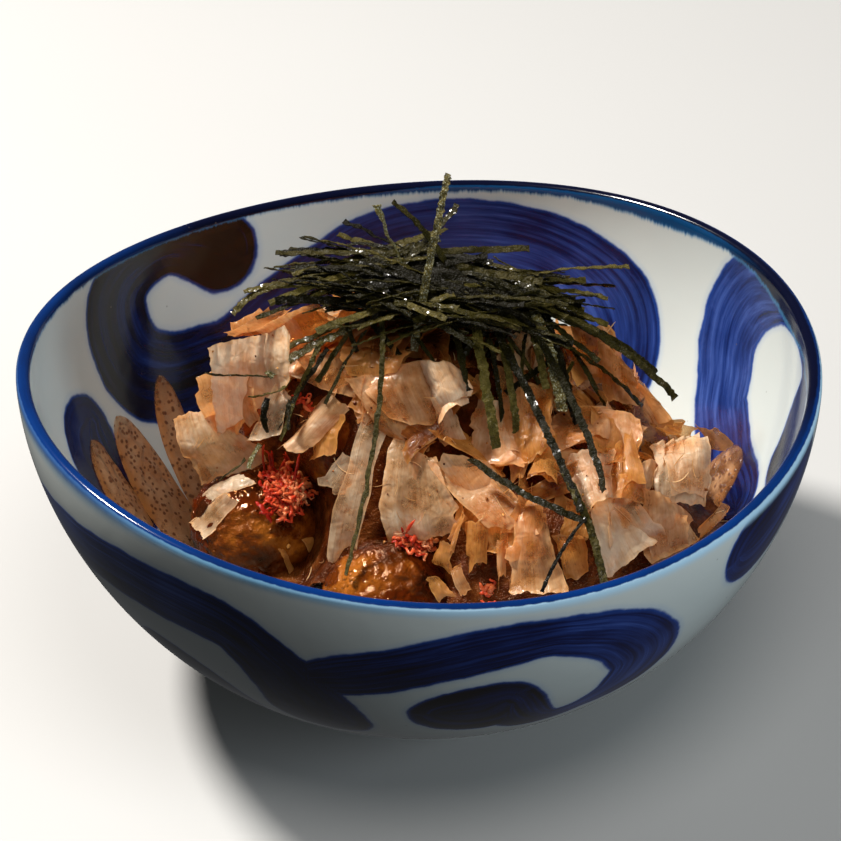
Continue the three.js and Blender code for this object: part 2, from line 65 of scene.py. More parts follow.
NAVY = (0.0035, 0.007, 0.050)
MID_COBALT = (0.012, 0.030, 0.15)
THICK_COBALT = (0.006, 0.003, 0.003)
THIN_COBALT = (0.052, 0.100, 0.34)
COBALT_EDGE = (0.012, 0.060, 0.30)
RIM_INK = (0.0012, 0.002, 0.012)
RIM_ROYAL = (0.001, 0.021, 0.118)
SKY_BLUE = (0.34, 0.53, 0.68)
# The sky blue darkened as painted shade, for the left half of the lip's outside.
SKY_SHADE = (0.085, 0.22, 0.36)
DEEP_BLUE = (0.003, 0.055, 0.20)
TEAL_BLUE = (0.004, 0.042, 0.125)
TEAL_EDGE = (0.05, 0.20, 0.38)
GLAZE_WHITE = (0.50, 0.54, 0.525)
GLAZE_SHADE = (0.45, 0.49, 0.48)
GLAZE_HALO = (0.25, 0.35, 0.50)
BARE_CLAY = (0.55, 0.47, 0.38)


def outer_wall(share):
    """Radius and height of the outer wall at a share of its height."""
    share = np.clip(np.asarray(share, float), 0, 1)
    reach = (1 - (1 - share) ** BODY_FULLNESS) ** (1 / BODY_ROUNDNESS)
    return np.stack(
        [BODY_RADIUS + (RIM_RADIUS - BODY_RADIUS) * reach, BODY_HEIGHT + (LIP_HEIGHT - BODY_HEIGHT) * share], -1
    )


def inner_wall(share, clearance=0.0):
    """The inner wall stands in from the outer one by the wall's thickness and any clearance."""
    share = np.clip(np.asarray(share, float), 0, 1)
    step = 1e-4
    along = outer_wall(np.minimum(share + step, 1)) - outer_wall(np.maximum(share - step, 0))
    along /= np.linalg.norm(along, axis=-1, keepdims=True)
    thickness = FLOOR_THICKNESS + (LIP_THICKNESS - FLOOR_THICKNESS) * np.sqrt(share) + clearance
    return outer_wall(share) + np.stack([-along[..., 1], along[..., 0]], -1) * thickness[..., None]


def wave_at(angle, height):
    """How much the rim's wave lifts a point of the bowl."""
    share = np.clip((height - BODY_HEIGHT) / (LIP_HEIGHT - BODY_HEIGHT), 0, 1)
    return RIM_WAVE * share * np.cos(2 * (angle - WAVE_HIGH))


def on_wall(degrees, share, inside):
    """The point of a wall at an angle and a share of its height."""
    angle = np.radians(degrees)
    radius, height = np.moveaxis(inner_wall(share) if inside else outer_wall(share), -1, 0)
    return np.stack([radius * np.cos(angle), radius * np.sin(angle), height + wave_at(angle, height)], -1)


def bowl_profile():
    """Rows of radius, height and distance from the top of the lip, from under the foot to the inner floor."""
    lip_radius = LIP_THICKNESS / 2
    turn = np.radians(np.linspace(0, 180, 13)[1:-1])
    lip = (RIM_RADIUS - lip_radius, LIP_HEIGHT) + lip_radius * np.stack([np.cos(turn), np.sin(turn)], -1)
    inner, outer = FOOT_RADIUS - FOOT_WIDTH, FOOT_RADIUS
    foot = [
        (0.01, FOOT_RECESS), (inner - 1.8, FOOT_RECESS), (inner - 0.7, FOOT_RECESS - 0.6), (inner - 0.1, 0.7),
        (inner + 0.7, 0), (outer - 0.7, 0), (outer - 0.05, 0.7), (outer + 1.1, BODY_HEIGHT - 1.6),
        (outer + 2.4, BODY_HEIGHT - 0.4),
    ]
    shares = np.linspace(0, 1, 400) ** 1.7
    floor = [(0.01, BODY_HEIGHT + FLOOR_THICKNESS)]
    path = np.concatenate([foot, outer_wall(shares), lip, inner_wall(shares[::-1]), floor])
    lengths = np.concatenate([[0], np.cumsum(np.linalg.norm(np.diff(path, axis=0), axis=1))])
    lip_start = len(foot) + len(shares)
    # The lip and the foot keep their own corners, and the rest is spaced evenly.
    own = np.concatenate([lengths[: len(foot)], lengths[lip_start : lip_start + len(lip)]])
    even = np.arange(0, lengths[-1], BOWL_ROW_GAP)
    even = even[np.abs(even[:, None] - own).min(1) > 0.4 * BOWL_ROW_GAP]
    stops = np.sort(np.concatenate([own, even, lengths[-1:]]))
    radius, height = (np.interp(stops, lengths, path[:, i]) for i in range(2))
    return radius, height, stops - lengths[lip_start + len(lip) // 2]


# Each brush stroke is a line of stations: an angle in degrees, a share of the wall's height and half its width.
HOOK_AND_ARCH = [
    (125, 0.88, 12.4), (129, 0.93, 11.0), (134, 0.965, 8.3), (139, 0.965, 9.0), (145, 0.93, 11.0), (149, 0.85, 13.4),
    (150, 0.70, 14.4), (148, 0.58, 14.6), (141, 0.51, 13.0), (132, 0.50, 11.4), (124, 0.51, 11.9),
    (109, 0.65, 11.6), (97, 0.78, 11.0), (84, 0.82, 10.6), (70, 0.80, 10.3), (58, 0.71, 11.9), (52, 0.62, 13.2),
    (48, 0.48, 12.2), (46, 0.32, 9.3),
]
RIGHT_BAND = [
    (0, 0.42, 11.4), (9, 0.42, 11.7), (15, 0.46, 11.7), (21, 0.52, 11.5), (24, 0.61, 12.2), (26.5, 0.70, 12.8),
    (26.5, 0.81, 13.2), (22.5, 0.93, 11.5), (13, 1.0, 6.0), (4, 1.0, 5.0), (-3, 0.95, 6.0), (-5, 0.80, 9.5),
    (-6, 0.66, 8.0),
]
SMALL_DAB = [(169, 0.56, 10.9), (172, 0.52, 14.9), (173, 0.41, 12.2), (173, 0.31, 9.2)]
CENTRE_HOOK = [
    (-105, 0.65, 6.2), (-100, 0.69, 8.9), (-92, 0.76, 8.4), (-82, 0.84, 8.3), (-73, 0.87, 6.7), (-68, 0.85, 7.5),
    (-63, 0.81, 8.7), (-59, 0.74, 10.0), (-56, 0.64, 10.6), (-56, 0.54, 10.4), (-58, 0.47, 8.0), (-63, 0.41, 4.8),
    (-68, 0.375, 5.2), (-73, 0.41, 8.0), (-77, 0.56, 8.8), (-80.5, 0.51, 14.5), (-84.5, 0.50, 12.0), (-87, 0.51, 6.7),
]
LEFT_BAND = [
    (-155, 0.72, 10.0), (-142, 0.755, 9.6), (-133, 0.785, 9.6), (-121, 0.79, 9.8), (-116, 0.765, 9.8),
    (-113, 0.71, 10.4), (-110, 0.63, 11.4), (-107.5, 0.50, 13.0), (-106.5, 0.38, 13.5),
]
LOW_CRESCENT = [(-137, 0.47, 3.5), (-133, 0.46, 7.0), (-128, 0.40, 8.6), (-124, 0.30, 7.0), (-122, 0.20, 4.0)]
RIGHT_HEAD = [(-40.0, 0.87, 6.0), (-38.2, 0.872, 10.8), (-34.5, 0.885, 13.4), (-29, 0.92, 12.6), (-23, 0.96, 9.0)]

# A stroke's stations, the turn it is painted at, whether it is inside, and how much cobalt the brush held from its
# start to its end.
STROKES = [
    (HOOK_AND_ARCH, 0, True, (0.90, 0.84, 0.84, 0.70, 0.56, 0.46, 0.54)),
    (HOOK_AND_ARCH, 180, True, (0.80, 0.70, 0.45, 0.4)),
    (RIGHT_BAND, 0, True, (0.66, 0.46, 0.36, 0.60, 0.85)),
    (SMALL_DAB, 0, True, (0.75, 0.75)),
    (CENTRE_HOOK, 0, False, (0.72, 0.60, 0.52, 0.50, 0.54, 0.72, 0.78)),
    (CENTRE_HOOK, 95, False, (0.72, 0.40, 0.46, 0.75)),
    (CENTRE_HOOK, 160, False, (0.66, 0.42, 0.46, 0.75)),
    (CENTRE_HOOK, 225, False, (0.72, 0.42, 0.46, 0.75)),
    (LEFT_BAND, 0, False, (0.5, 0.56, 0.76)),
    (LOW_CRESCENT, 0, False, (0.7, 0.6)),
    (RIGHT_HEAD, 0, False, (0.62, 0.58)),
]


def smooth_line(stations, pieces=6):
    """A Catmull-Rom line through the stations."""
    line = np.array(stations, float)
    ends = np.concatenate([[2 * line[0] - line[1]], line, [2 * line[-1] - line[-2]]])
    t = np.linspace(0, 1, pieces, endpoint=False)[:, None]
    spans = [
        b + 0.5 * t * (c - a) + t**2 * (a - 2.5 * b + 2 * c - 0.5 * d) + t**3 * (1.5 * (b - c) + 0.5 * (d - a))
        for a, b, c, d in zip(ends, ends[1:], ends[2:], ends[3:])
    ]
    return np.concatenate([*spans, line[-1:]])


def brush_field(points, is_inside):
    """For each point: distance out from the nearest painted edge, place across and along its stroke, and its load."""
    field = np.tile([99.0, 0, 0, 0.5], (len(points), 1))
    for stations, turn, inside, load in STROKES:
        line = smooth_line(stations)
        centres = on_wall(line[:, 0] + turn, line[:, 1], inside)
        chosen = np.flatnonzero(is_inside == inside)
        near = points[chosen]
        travelled = 0.0
        loads = np.interp(np.linspace(0, 1, len(centres)), np.linspace(0, 1, len(load)), load)
        for start, end, start_half, end_half, held in zip(centres, centres[1:], line[:, 2], line[1:, 2], loads):
            span = end - start
            length = np.linalg.norm(span)
            close = np.linalg.norm(near - start, axis=1) < 60
            local, at = near[close], chosen[close]
            share = np.clip((local - start) @ span / length**2, 0, 1)
            away = local - (start + share[:, None] * span)
            half = start_half + (end_half - start_half) * share
            distance = np.linalg.norm(away, axis=1)
            side = np.cross((*start[:2], 20.0), span)
            edge = distance - half
            nearer = edge < field[at, 0]
            across = np.sign(away @ side) * distance / half
            values = np.stack(np.broadcast_arrays(edge, across, travelled + share * length, held), -1)
            field[at[nearer]] = values[nearer]
            travelled += length
    return field


def two_terms(operation, turned=False):
    """A method that works out two terms, or the same with the terms turned round."""
    return lambda self, other: self.math(operation, *((other, self) if turned else (self, other)))


class Wire:
    """A node's output. Sums of wires and numbers add the Math nodes that work them out."""

    def __init__(self, recipe, socket):
        self.recipe = recipe
        self.socket = socket

    def math(self, operation, *terms, clamped=False):
        settings = {"operation": operation, "use_clamp": clamped}
        return self.recipe.add("Math", settings, dict(enumerate(terms)))

    __add__ = __radd__ = two_terms("ADD")
    __sub__, __rsub__ = two_terms("SUBTRACT"), two_terms("SUBTRACT", turned=True)
    __mul__ = __rmul__ = two_terms("MULTIPLY")
    __pow__ = two_terms("POWER")
    most = two_terms("MAXIMUM")

    def size(self):
        return self.math("ABSOLUTE", self)

    def clamp(self):
        return self.math("ADD", self, 0.0, clamped=True)

    def rise(self, low, high):
        """A smooth step from 0 at low to 1 at high. With low above high it falls instead."""
        inputs = {"Value": self, "From Min": low, "From Max": high}
        return self.recipe.add("MapRange", {"interpolation_type": "SMOOTHSTEP"}, inputs)


class Recipe:
    """A material made node by node."""

    def __init__(self, name):
        self.material = bpy.data.materials.new(name)
        self.material.use_nodes = True
        self.tree = self.material.node_tree
        self.tree.nodes.clear()

    def add(self, kind, settings=None, inputs=None, output=0):
        """Adds a node with its settings and the values or wires of its inputs, and hands on one output."""
        node = self.tree.nodes.new("ShaderNode" + kind)
        for name, value in (settings or {}).items():
            if name == "stops":
                elements = node.color_ramp.elements
                while len(elements) < len(value):
                    elements.new(0.5)
                for element, (place, colour) in zip(elements, value):
                    element.position = place
                    element.color = (*colour, 1.0)
            else:
                setattr(node, name, value)
        for name, value in (inputs or {}).items():
            socket = node.inputs[name]
            if isinstance(value, Wire):
                self.tree.links.new(value.socket, socket)
            else:
                socket.default_value = (*value, 1.0) if socket.type == "RGBA" else value
        return Wire(self, node.outputs[output]) if node.outputs else None

    def place(self):
        return self.add("TexCoord", output="Object")

    def split(self, vector):
        return [self.add("SeparateXYZ", None, {0: vector}, output=i) for i in range(3)]

    def attribute(self, name):
        """The three numbers of a mesh attribute."""
        return self.split(self.add("Attribute", {"attribute_name": name}, output="Vector"))

    def spot(self, x, y, z=0.0):
        return self.add("CombineXYZ", None, {0: x, 1: y, 2: z})

    def noise(self, vector, size, detail=3.0, roughness=0.55):
        """Clouds of about a size in millimetres where the vector is in metres."""
        inputs = {"Vector": vector, "Scale": 1000 / size, "Detail": detail, "Roughness": roughness}
        return self.add("TexNoise", None, inputs)

    def drift(self, *cloud):
        """The same clouds, from -0.5 to 0.5."""
        return self.noise(*cloud) - 0.5

    def cells(self, vector, size, feature="F1"):
        """Distance from the nearest of many scattered spots about a size in millimetres apart."""
        return self.add("TexVoronoi", {"feature": feature}, {"Vector": vector, "Scale": 1000 / size}, "Distance")

    def ramp(self, value, *stops):
        return self.add("ValToRGB", {"stops": stops}, {0: value})

    def mix(self, share, first, second):
        return self.add("Mix", {"data_type": "RGBA"}, {0: share, 6: first, 7: second}, 2)

    def bump(self, height, depth):
        """A bump whose full height is a depth in millimetres."""
        return self.add("Bump", None, {"Height": height, "Distance": depth * MM})

    def principled(self, **inputs):
        names = {name: name.replace("_", " ").title().replace("Ior", "IOR") for name in inputs}
        return self.add("BsdfPrincipled", None, {names[name]: inputs[name] for name in inputs})

    def blend(self, share, first, second):
        return self.add("MixShader", None, {0: share, 1: first, 2: second})

    def translucent(self, **inputs):
        return self.add("BsdfTranslucent", None, {name.title(): inputs[name] for name in inputs})

    def clear(self, colour):
        return self.add("BsdfTransparent", None, {"Color": colour})

    def done(self, shader):
        self.add("OutputMaterial", None, {"Surface": shader})
        return self.material


def glazed_porcelain():
    recipe = Recipe("glazed_porcelain")
    place = recipe.place()
    edge, across, along = recipe.attribute("brush")
    from_lip, bleed_width, load = recipe.attribute("rim")

    edge = edge + recipe.drift(place, 9, 4) * 2.2
    painted = edge.rise(0.45, -0.5)
    streaks = recipe.noise(recipe.spot(across * 6.5, along * 0.022, load * 9), 1000, 5, 0.62)
    pools = recipe.noise(place, 34, 2)
    depth = load + (streaks - 0.5) * 1.15 + (pools - 0.5) * 0.95 + (across.size() ** 6).clamp() * 0.1
    cobalt = recipe.ramp(depth, (0.05, THIN_COBALT), (0.38, MID_COBALT), (0.62, NAVY), (0.88, THICK_COBALT))
    cobalt = recipe.mix(edge.rise(-1.5, 0.2) * 0.75, cobalt, COBALT_EDGE)

    white = recipe.mix(recipe.noise(place, 60, 2), GLAZE_WHITE, GLAZE_SHADE)
    white = recipe.mix(edge.rise(2.2, 0.0) * 0.35, white, GLAZE_HALO)
    colour = recipe.mix(painted, white, cobalt)

    # Cobalt round the lip runs a little way down inside, and outside it thins out to sky blue.
    x, y, _ = recipe.split(place)
    round_rim = recipe.spot(y.math("ARCTAN2", y, x) * 0.1, 0)
    reach = from_lip + recipe.drift(place, 2.2, 2) * 0.5
    comb = reach + recipe.drift(round_rim, 0.8, 2) * 1.9 + recipe.drift(round_rim, 5, 2) * 1.8
    inside = reach.rise(0.4, 1.2)
    faded = comb.rise(bleed_width * 0.72, bleed_width * 1.02)
    right_side = x.rise(0.080, 0.096)
    teal = recipe.mix(faded, recipe.mix(right_side, TEAL_BLUE, RIM_INK), TEAL_EDGE)
    colour = recipe.mix(comb.rise(bleed_width + 0.5, bleed_width - 1.1) * inside, colour, teal)
    left_side = x.rise(-0.050, -0.088)
    outside_bleed = reach.rise(-5.0 - left_side * 2.6, -2.0) ** 1.3 * reach.rise(0.0, -1.0) * 0.95
    # Towards the left the sky blue turns darker: painted shade.
    sky = recipe.mix(x.rise(0.025, -0.045), SKY_BLUE, SKY_SHADE)
    sky = recipe.mix(reach.rise(-5.0, -2.2) * left_side, sky, DEEP_BLUE)
    colour = recipe.mix(outside_bleed, colour, sky)
    line_width = 1.7 + x.rise(0.012, -0.02)
    line = reach.rise(-1.6, -1.2) * reach.rise(line_width + 0.3, line_width - 0.3)
    near_side = y.rise(-0.015, -0.075).most(left_side * 0.8)
    ink = (reach.rise(-1.0, 0.0) * (1 - near_side) + pools.rise(0.42, 0.62) * 0.3).clamp()
    colour = recipe.mix(line, colour, recipe.mix(ink, RIM_ROYAL, RIM_INK))

    specks = recipe.cells(place, 11).rise(0.035, 0.02) * 0.4
    colour = recipe.mix(specks, colour, (0.10, 0.08, 0.06))
    bare = bleed_width.rise(-0.5, -0.9)
    glaze = recipe.principled(
        base_color=recipe.mix(bare, colour, BARE_CLAY),
        roughness=0.09 + recipe.noise(place, 5, 2) * 0.08 + bare * 0.6,
        normal=recipe.bump(recipe.noise(place, 16, 2) + streaks * painted * 0.12, 0.16),
        specular_ior_level=0.34,
    )
    return recipe.done(glaze)


def make_piece(name, vertices, groups, material, attributes=None, crease=60):
    """A mesh piece from millimetres and groups of faces, with vector attributes, that rides with the dish. Edges
    that turn by more than crease degrees stay sharp, and the rest are shaded smooth."""
    mesh = bpy.data.meshes.new(name)
    faces = [face for group in groups for face in np.asarray(group).tolist()]
    mesh.from_pydata((np.asarray(vertices) * MM).tolist(), [], faces)
    mesh.validate()
    for attribute, values in (attributes or {}).items():
        layer = mesh.attributes.new(attribute, "FLOAT_VECTOR", "POINT")
        layer.data.foreach_set("vector", np.asarray(values, np.float32).ravel())
    mesh.shade_smooth()
    mesh.set_sharp_from_angle(angle=math.radians(crease))
    mesh.materials.append(material)
    piece = bpy.data.objects.new(name, mesh)
    bpy.context.scene.collection.objects.link(piece)
    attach(piece, "root")
    return piece


def rings(rows, spokes):
    """The corner numbers of rows that each close into a ring, and the faces between one ring and the next."""
    grid = np.arange(rows * spokes).reshape(rows, spokes)
    near, far = grid[:-1], grid[1:]
    return grid, np.stack([near, far, np.roll(far, -1, 1), np.roll(near, -1, 1)], -1).reshape(-1, 4)


def end_fans(grid):
    """Triangles from the first and last rings to the two points that follow the grid's own."""
    return [
        np.stack([ring, np.roll(ring, -1), np.full(len(ring), tip)], -1)
        for ring, tip in ((grid[0], grid.size), (grid[-1, ::-1], grid.size + 1))
    ]


def hill(degrees, middle, width):
    """A smooth bump from 0 to 1 round the rim."""
    return np.exp(-(((degrees - middle) / width) ** 2))


def make_bowl():
    radius, height, from_lip = (values[:, None] for values in bowl_profile())
    angle = np.linspace(0, 2 * np.pi, BOWL_SPOKES, endpoint=False)[None]
    level = height + 0 * angle
    points = np.stack([radius * np.cos(angle), radius * np.sin(angle), level + wave_at(angle, level)], -1)
    points = points.reshape(-1, 3)
    from_lip = (from_lip + 0 * angle).ravel()
    edge, across, along, load = brush_field(points, from_lip > 0).T

    degrees = np.degrees(angle + 0 * height).ravel()
    feathered, left, behind = hill(degrees, 46, 15), hill(degrees, 178, 30), hill(degrees, 85, 30)
    right = hill(degrees, 10, 14) + hill(degrees, 360, 12)
    bleed_width = 2.9 + 2.9 * feathered + 0.9 * left + 1.2 * behind + 5.0 * right
    bleed_width[(points[:, 2] < 0.5) & (from_lip < 0)] = -1.0  # the foot ring is wiped

    grid, faces = rings(len(height), BOWL_SPOKES)
    groups = [faces[:, [0, 3, 2, 1]], [grid[0, ::-1]], [grid[-1]]]
    attributes = {
        "brush": np.stack([edge, across, along], -1),
        "rim": np.stack([from_lip, bleed_width, load], -1),
    }
    return make_piece("porcelain_bowl", points, groups, glazed_porcelain(), attributes)


bowl = make_bowl()
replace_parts(bowl, "bowl")


# ---- Mayonnaise streaks ----
# Thin mayonnaise flecked with pepper and crumbs of crust, squeezed from a bottle across the dish. Four streaks of
# it have run down the inner wall, each narrow at its tip and fuller below.

STREAKS = [
    [(144.7, 0.54, 2.0), (148.9, 0.33, 5.6), (155.0, 0.12, 5.0)],
    [(159.6, 0.52, 2.0), (162.8, 0.32, 8.6), (169.0, 0.10, 7.6)],
    [(170.2, 0.54, 2.0), (174.2, 0.38, 7.4), (177.5, 0.24, 5.0)],
    [(9.0, 0.50, 3.0), (9.0, 0.39, 7.4), (8.0, 0.30, 7.0)],
]
SOAKED_STREAK = 3  # the one that has run into the sauce
STREAK_RISE = 1.3
STREAK_ROWS, STREAK_COLUMNS = 56, 22


def through(stations, share):
    """A smooth run of values through three stations, at shares from 0 to 1 of the way."""
    first, middle, last = (np.array(station)[:, None] for station in stations)
    bend = 2 * (first + last) - 4 * middle
    return first + (last - first) * share - bend * share * (1 - share)


def waves(points, size, seed, count=18):
    """Smooth random hills from -1 to 1, about a size apart, from many plane waves."""
    random = np.random.default_rng(seed)
    headings = random.normal(size=(count, points.shape[-1]))
    headings *= 2 * np.pi / size / np.linalg.norm(headings, axis=1, keepdims=True)
    headings *= random.uniform(0.6, 1.6, (count, 1))
    phases = random.uniform(0, 2 * np.pi, count)
    return np.sin(points @ headings.T + phases).sum(-1) / math.sqrt(count) * 0.8


def thin_sheet(points, half):
    """A closed thin solid round a grid of points, with its thickness given at each point."""
    normal = np.cross(np.gradient(points, axis=0), np.gradient(points, axis=1))
    normal /= np.maximum(np.linalg.norm(normal, axis=-1, keepdims=True), 1e-9)
    offset = normal * np.broadcast_to(half, points.shape[:2])[..., None]
    vertices = np.concatenate([(points + offset).reshape(-1, 3), (points - offset).reshape(-1, 3)])
    count = len(vertices) // 2
    grid = np.arange(count).reshape(points.shape[:2])
    front = np.stack([grid[:-1, :-1], grid[1:, :-1], grid[1:, 1:], grid[:-1, 1:]], -1).reshape(-1, 4)
    border = np.concatenate([grid[:-1, 0], grid[-1, :-1], grid[:0:-1, -1], grid[0, :0:-1]])
    following = np.roll(border, -1)
    sides = np.stack([border, border + count, following + count, following], -1)
    return vertices, np.concatenate([front, front[:, ::-1] + count, sides])


class Pile:
    """Many small solids that make up one piece. Each carries its own attribute values."""

    def __init__(self):
        self.vertices = []
        self.groups = []
        self.marks = []
        self.count = 0

    def put(self, vertices, faces, marks=(0, 0, 0)):
        self.vertices.append(vertices)
        self.groups.append(faces + self.count)
        self.marks.append(np.broadcast_to(marks, (len(vertices), 3)))
        self.count += len(vertices)

    def make(self, name, material, crease=60):
        marks = {"mark": np.concatenate(self.marks)}
        return make_piece(name, np.concatenate(self.vertices), self.groups, material, marks, crease)


def flecked_mayonnaise():
    recipe = Recipe("flecked_mayonnaise")
    place = recipe.place()
    soaked, across, share = recipe.attribute("mark")
    cloud = recipe.noise(place, 6, 4)
    border = (across.size() + (cloud - 0.5) * 0.5).rise(0.45, 1.0)
    colour = recipe.mix(cloud.rise(0.35, 0.65), (0.36, 0.165, 0.070), (0.50, 0.27, 0.135))
    colour = recipe.mix(border * 0.8, colour, (0.62, 0.23, 0.055))
    colour = recipe.mix(soaked * cloud.rise(0.62, 0.40) * 0.8, colour, (0.10, 0.035, 0.012))
    flecks = recipe.cells(place, 1.7).rise(0.42, 0.24) * recipe.noise(place, 3, 1).rise(0.30, 0.44)
    grains = recipe.cells(place, 0.8).rise(0.30, 0.15) * recipe.noise(place, 2, 1).rise(0.5, 0.6) * 0.7
    dots = (flecks + grains).clamp()
    colour = recipe.mix(dots * 0.9, colour, (0.12, 0.036, 0.014))
    normal = recipe.bump(recipe.noise(place, 1.6, 3) + dots * 0.5, 0.25)
    cream = recipe.principled(
        base_color=colour,
        roughness=0.34 - soaked * 0.2 + dots * 0.3,
        normal=normal,
        coat_weight=0.15,
        coat_roughness=0.2,
    )
    # It is thin enough for the cobalt and the white glaze to show through, most of all at its tip and edges.
    thin = 0.15 + border * 0.3 + share.rise(0.25, 0.0) * 0.35 + (cloud - 0.5) * 0.7
    thin = (thin * (1 - dots * 0.7)).clamp()
    return recipe.done(recipe.blend(thin, cream, recipe.clear((1.0, 0.9, 0.78))))


def make_streaks():
    pile = Pile()
    for number, stations in enumerate(STREAKS):
        share = np.linspace(0, 1, STREAK_ROWS)
        degrees, height, half_width = through(stations, share)
        side = np.linspace(-1, 1, STREAK_COLUMNS)[None]
        outline = waves(np.stack([share * 30, np.full_like(share, number * 9.0)], -1), 11, 40 + number) * 0.35
        rounded = np.sqrt(np.maximum(1 - (1 - np.minimum(share / 0.12, 1)) ** 2, 0.004))
        half_width = (half_width + 0.8 + outline) * rounded
        radius = inner_wall(height)[:, 0]
        turned = degrees[:, None] + np.degrees(side * (half_width / radius)[:, None])
        wall = on_wall(turned, np.repeat(height[:, None], side.size, 1), True)
        plump = np.sqrt(np.maximum(1 - (2 * share - 1) ** 4, 0.05))[:, None]
        rise = STREAK_RISE * plump * np.sqrt(np.maximum(1 - side**2, 0.01))
        rise = rise * (1 + 0.25 * waves(wall, 5, 70 + number))
        marks = np.stack(np.broadcast_arrays(number == SOAKED_STREAK, side, share[:, None]), -1)
        pile.put(*thin_sheet(wall, rise), np.tile(marks.reshape(-1, 3), (2, 1)))
    pile.make("mayonnaise_streaks", flecked_mayonnaise())


make_streaks()


# ---- Takoyaki balls ----
# Balls of wheat batter round a piece of octopus, turned in a hot iron mould until their skin is browned, then
# brushed with a thick sweet brown sauce that shines and gathers in the hollows.

BALLS = np.array(
    [
        (-43, 3, 33.5), (-7, -31, 32.5), (34, -27, 33.5), (45, 15, 34.5), (7.5, 37.5, 33.5), (-33.5, 42, 34.5),
        (-15, 9, 61.5),
    ]
)
BALL_RADIUS = 19.6
BALL_LUMP = 0.35
FINENESS = (7, 7, 6, 6, 5, 5, 6)  # of each ball's mesh: the ones that lie open to view get the finest
GLAZED_BALLS = (1,)  # the ones whose golden crust shines under a thin film of sauce
# Where the crust of a ball swells golden out of the sauce: the ball, the direction and the reach.
GOLDEN_BUMPS = [
    (0, (-0.30, -0.85, 0.43), 0.36),
    (1, (-0.45, -0.40, 0.80), 0.40),
    (6, (-0.2, -0.6, 0.7), 0.4),
]


def lump(directions, number):
    x, y, z = directions.T
    return (np.sin(4.1 * x + 1.7 * number) + np.sin(3.3 * y - 2.3 * number) + np.sin(4.7 * z + 0.9 * number)) / 3


def kept_inside(points, clearance=0.4):
    """Pulls points that would reach into the bowl's wall back to just inside it."""
    radius, height = inner_wall(np.linspace(0, 1, 200), clearance).T
    order = np.argsort(height)
    level = points[:, 2] - wave_at(np.arctan2(points[:, 1], points[:, 0]), points[:, 2])
    limit = np.interp(level, height[order], radius[order])
    reach = np.hypot(points[:, 0], points[:, 1])
    kept = points.copy()
    kept[:, :2] *= np.minimum(1, limit / np.maximum(reach, 1e-6))[:, None]
    kept[:, 2] = np.maximum(kept[:, 2], BODY_HEIGHT + FLOOR_THICKNESS + clearance)
    return kept


def round_mesh(subdivisions):
    """The corners and the faces of a ball of radius 1."""
    ball = bmesh.new()
    bmesh.ops.create_icosphere(ball, subdivisions=subdivisions, radius=1)
    points = np.array([vertex.co for vertex in ball.verts])
    faces = np.array([[vertex.index for vertex in face.verts] for face in ball.faces])
    ball.free()
    return points, faces


def sauced_batter():
    recipe = Recipe("sauced_batter")
    place = recipe.place()
    sauce, toast, shine = recipe.attribute("mark")
    fine = recipe.noise(place, 2.4, 5, 0.6)
    cloud = recipe.noise(place, 8, 4)
    browned = toast + (cloud - 0.5) * 1.5 + (fine - 0.5) * 0.5
    skin = recipe.ramp(
        browned,
        (0.10, (0.26, 0.074, 0.007)),
        (0.38, (0.125, 0.026, 0.002)),
        (0.62, (0.055, 0.0095, 0.0010)),
        (0.90, (0.016, 0.003, 0.0008)),
    )
    pits = recipe.cells(place, 3.2).rise(0.22, 0.10) * 0.6
    skin = recipe.mix(pits, skin, (0.07, 0.018, 0.005))
    wet = (sauce + recipe.drift(place, 5, 4) * 1.1).rise(0.42, 0.60)
    deep = (sauce + (cloud - 0.5) * 0.7).rise(0.75, 1.15)
    glaze = recipe.mix(deep, (0.060, 0.0075, 0.0008), (0.009, 0.0012, 0.0003))
    colour = recipe.mix(wet * 0.85, skin, glaze)
    glossy = wet.most(shine)
    beads = recipe.cells(place, 1.4).rise(0.55, 0.1) * recipe.noise(place, 6, 2).rise(0.44, 0.56) * glossy
    dimples = recipe.noise(place, 1.5, 4, 0.6) * (1 - glossy * 0.82) + recipe.noise(place, 3.6, 1) * 1.5
    crust = recipe.principled(
        base_color=colour,
        roughness=0.26 - glossy * 0.20 + (fine - 0.5) * 0.04,
        normal=recipe.bump(dimples + wet * 0.3 + beads * 0.8, 0.65),
        specular_ior_level=0.38,
        specular_tint=(1.0, 0.58, 0.30),
    )
    return recipe.done(crust)


batter = sauced_batter()


def make_ball(number):
    directions, faces = round_mesh(FINENESS[number])
    directions /= np.linalg.norm(directions, axis=1, keepdims=True)
    skin = directions * BALL_RADIUS

    def hills(size, seed):
        return waves(skin, size, seed + number)

    top = directions[:, 2]
    sauce = 0.42 + 0.34 * top + 0.38 * hills(16, 100)
    bump = 0.0
    for ball, towards, reach in GOLDEN_BUMPS:
        if ball == number:
            bump = np.exp(-(((directions - towards) ** 2).sum(1)) / reach**2)
            sauce = sauce * (1 - bump) - 0.3 * bump
    shine = bump * (number in GLAZED_BALLS)
    wet = np.maximum(1 / (1 + np.exp(-(sauce - 0.5) * 14)), shine)
    grain = hills(3.4, 200) * 0.10 + hills(7.5, 300) * 0.20
    crust = np.abs(hills(5.2, 400)) * -0.16
    ridges = np.abs(hills(6.5, 600)) * 0.5 + np.abs(hills(2.6, 700)) * 0.16
    radius = BALL_RADIUS + BALL_LUMP * lump(directions, number) + (grain + crust) * (1 - 0.5 * wet) + ridges * wet
    toast = 0.55 + 0.25 * hills(22, 500) - 0.25 * (top < -0.2) - 0.35 * bump
    marks = {"mark": np.stack([sauce, toast, shine + 0 * sauce], -1)}
    points = kept_inside(directions * radius[:, None] + BALLS[number])
    name = f"takoyaki_{number + 1}"
    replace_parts(make_piece(f"{name}_sauced", points, [faces], batter, marks), name)


for each in range(len(BALLS)):
    make_ball(each)


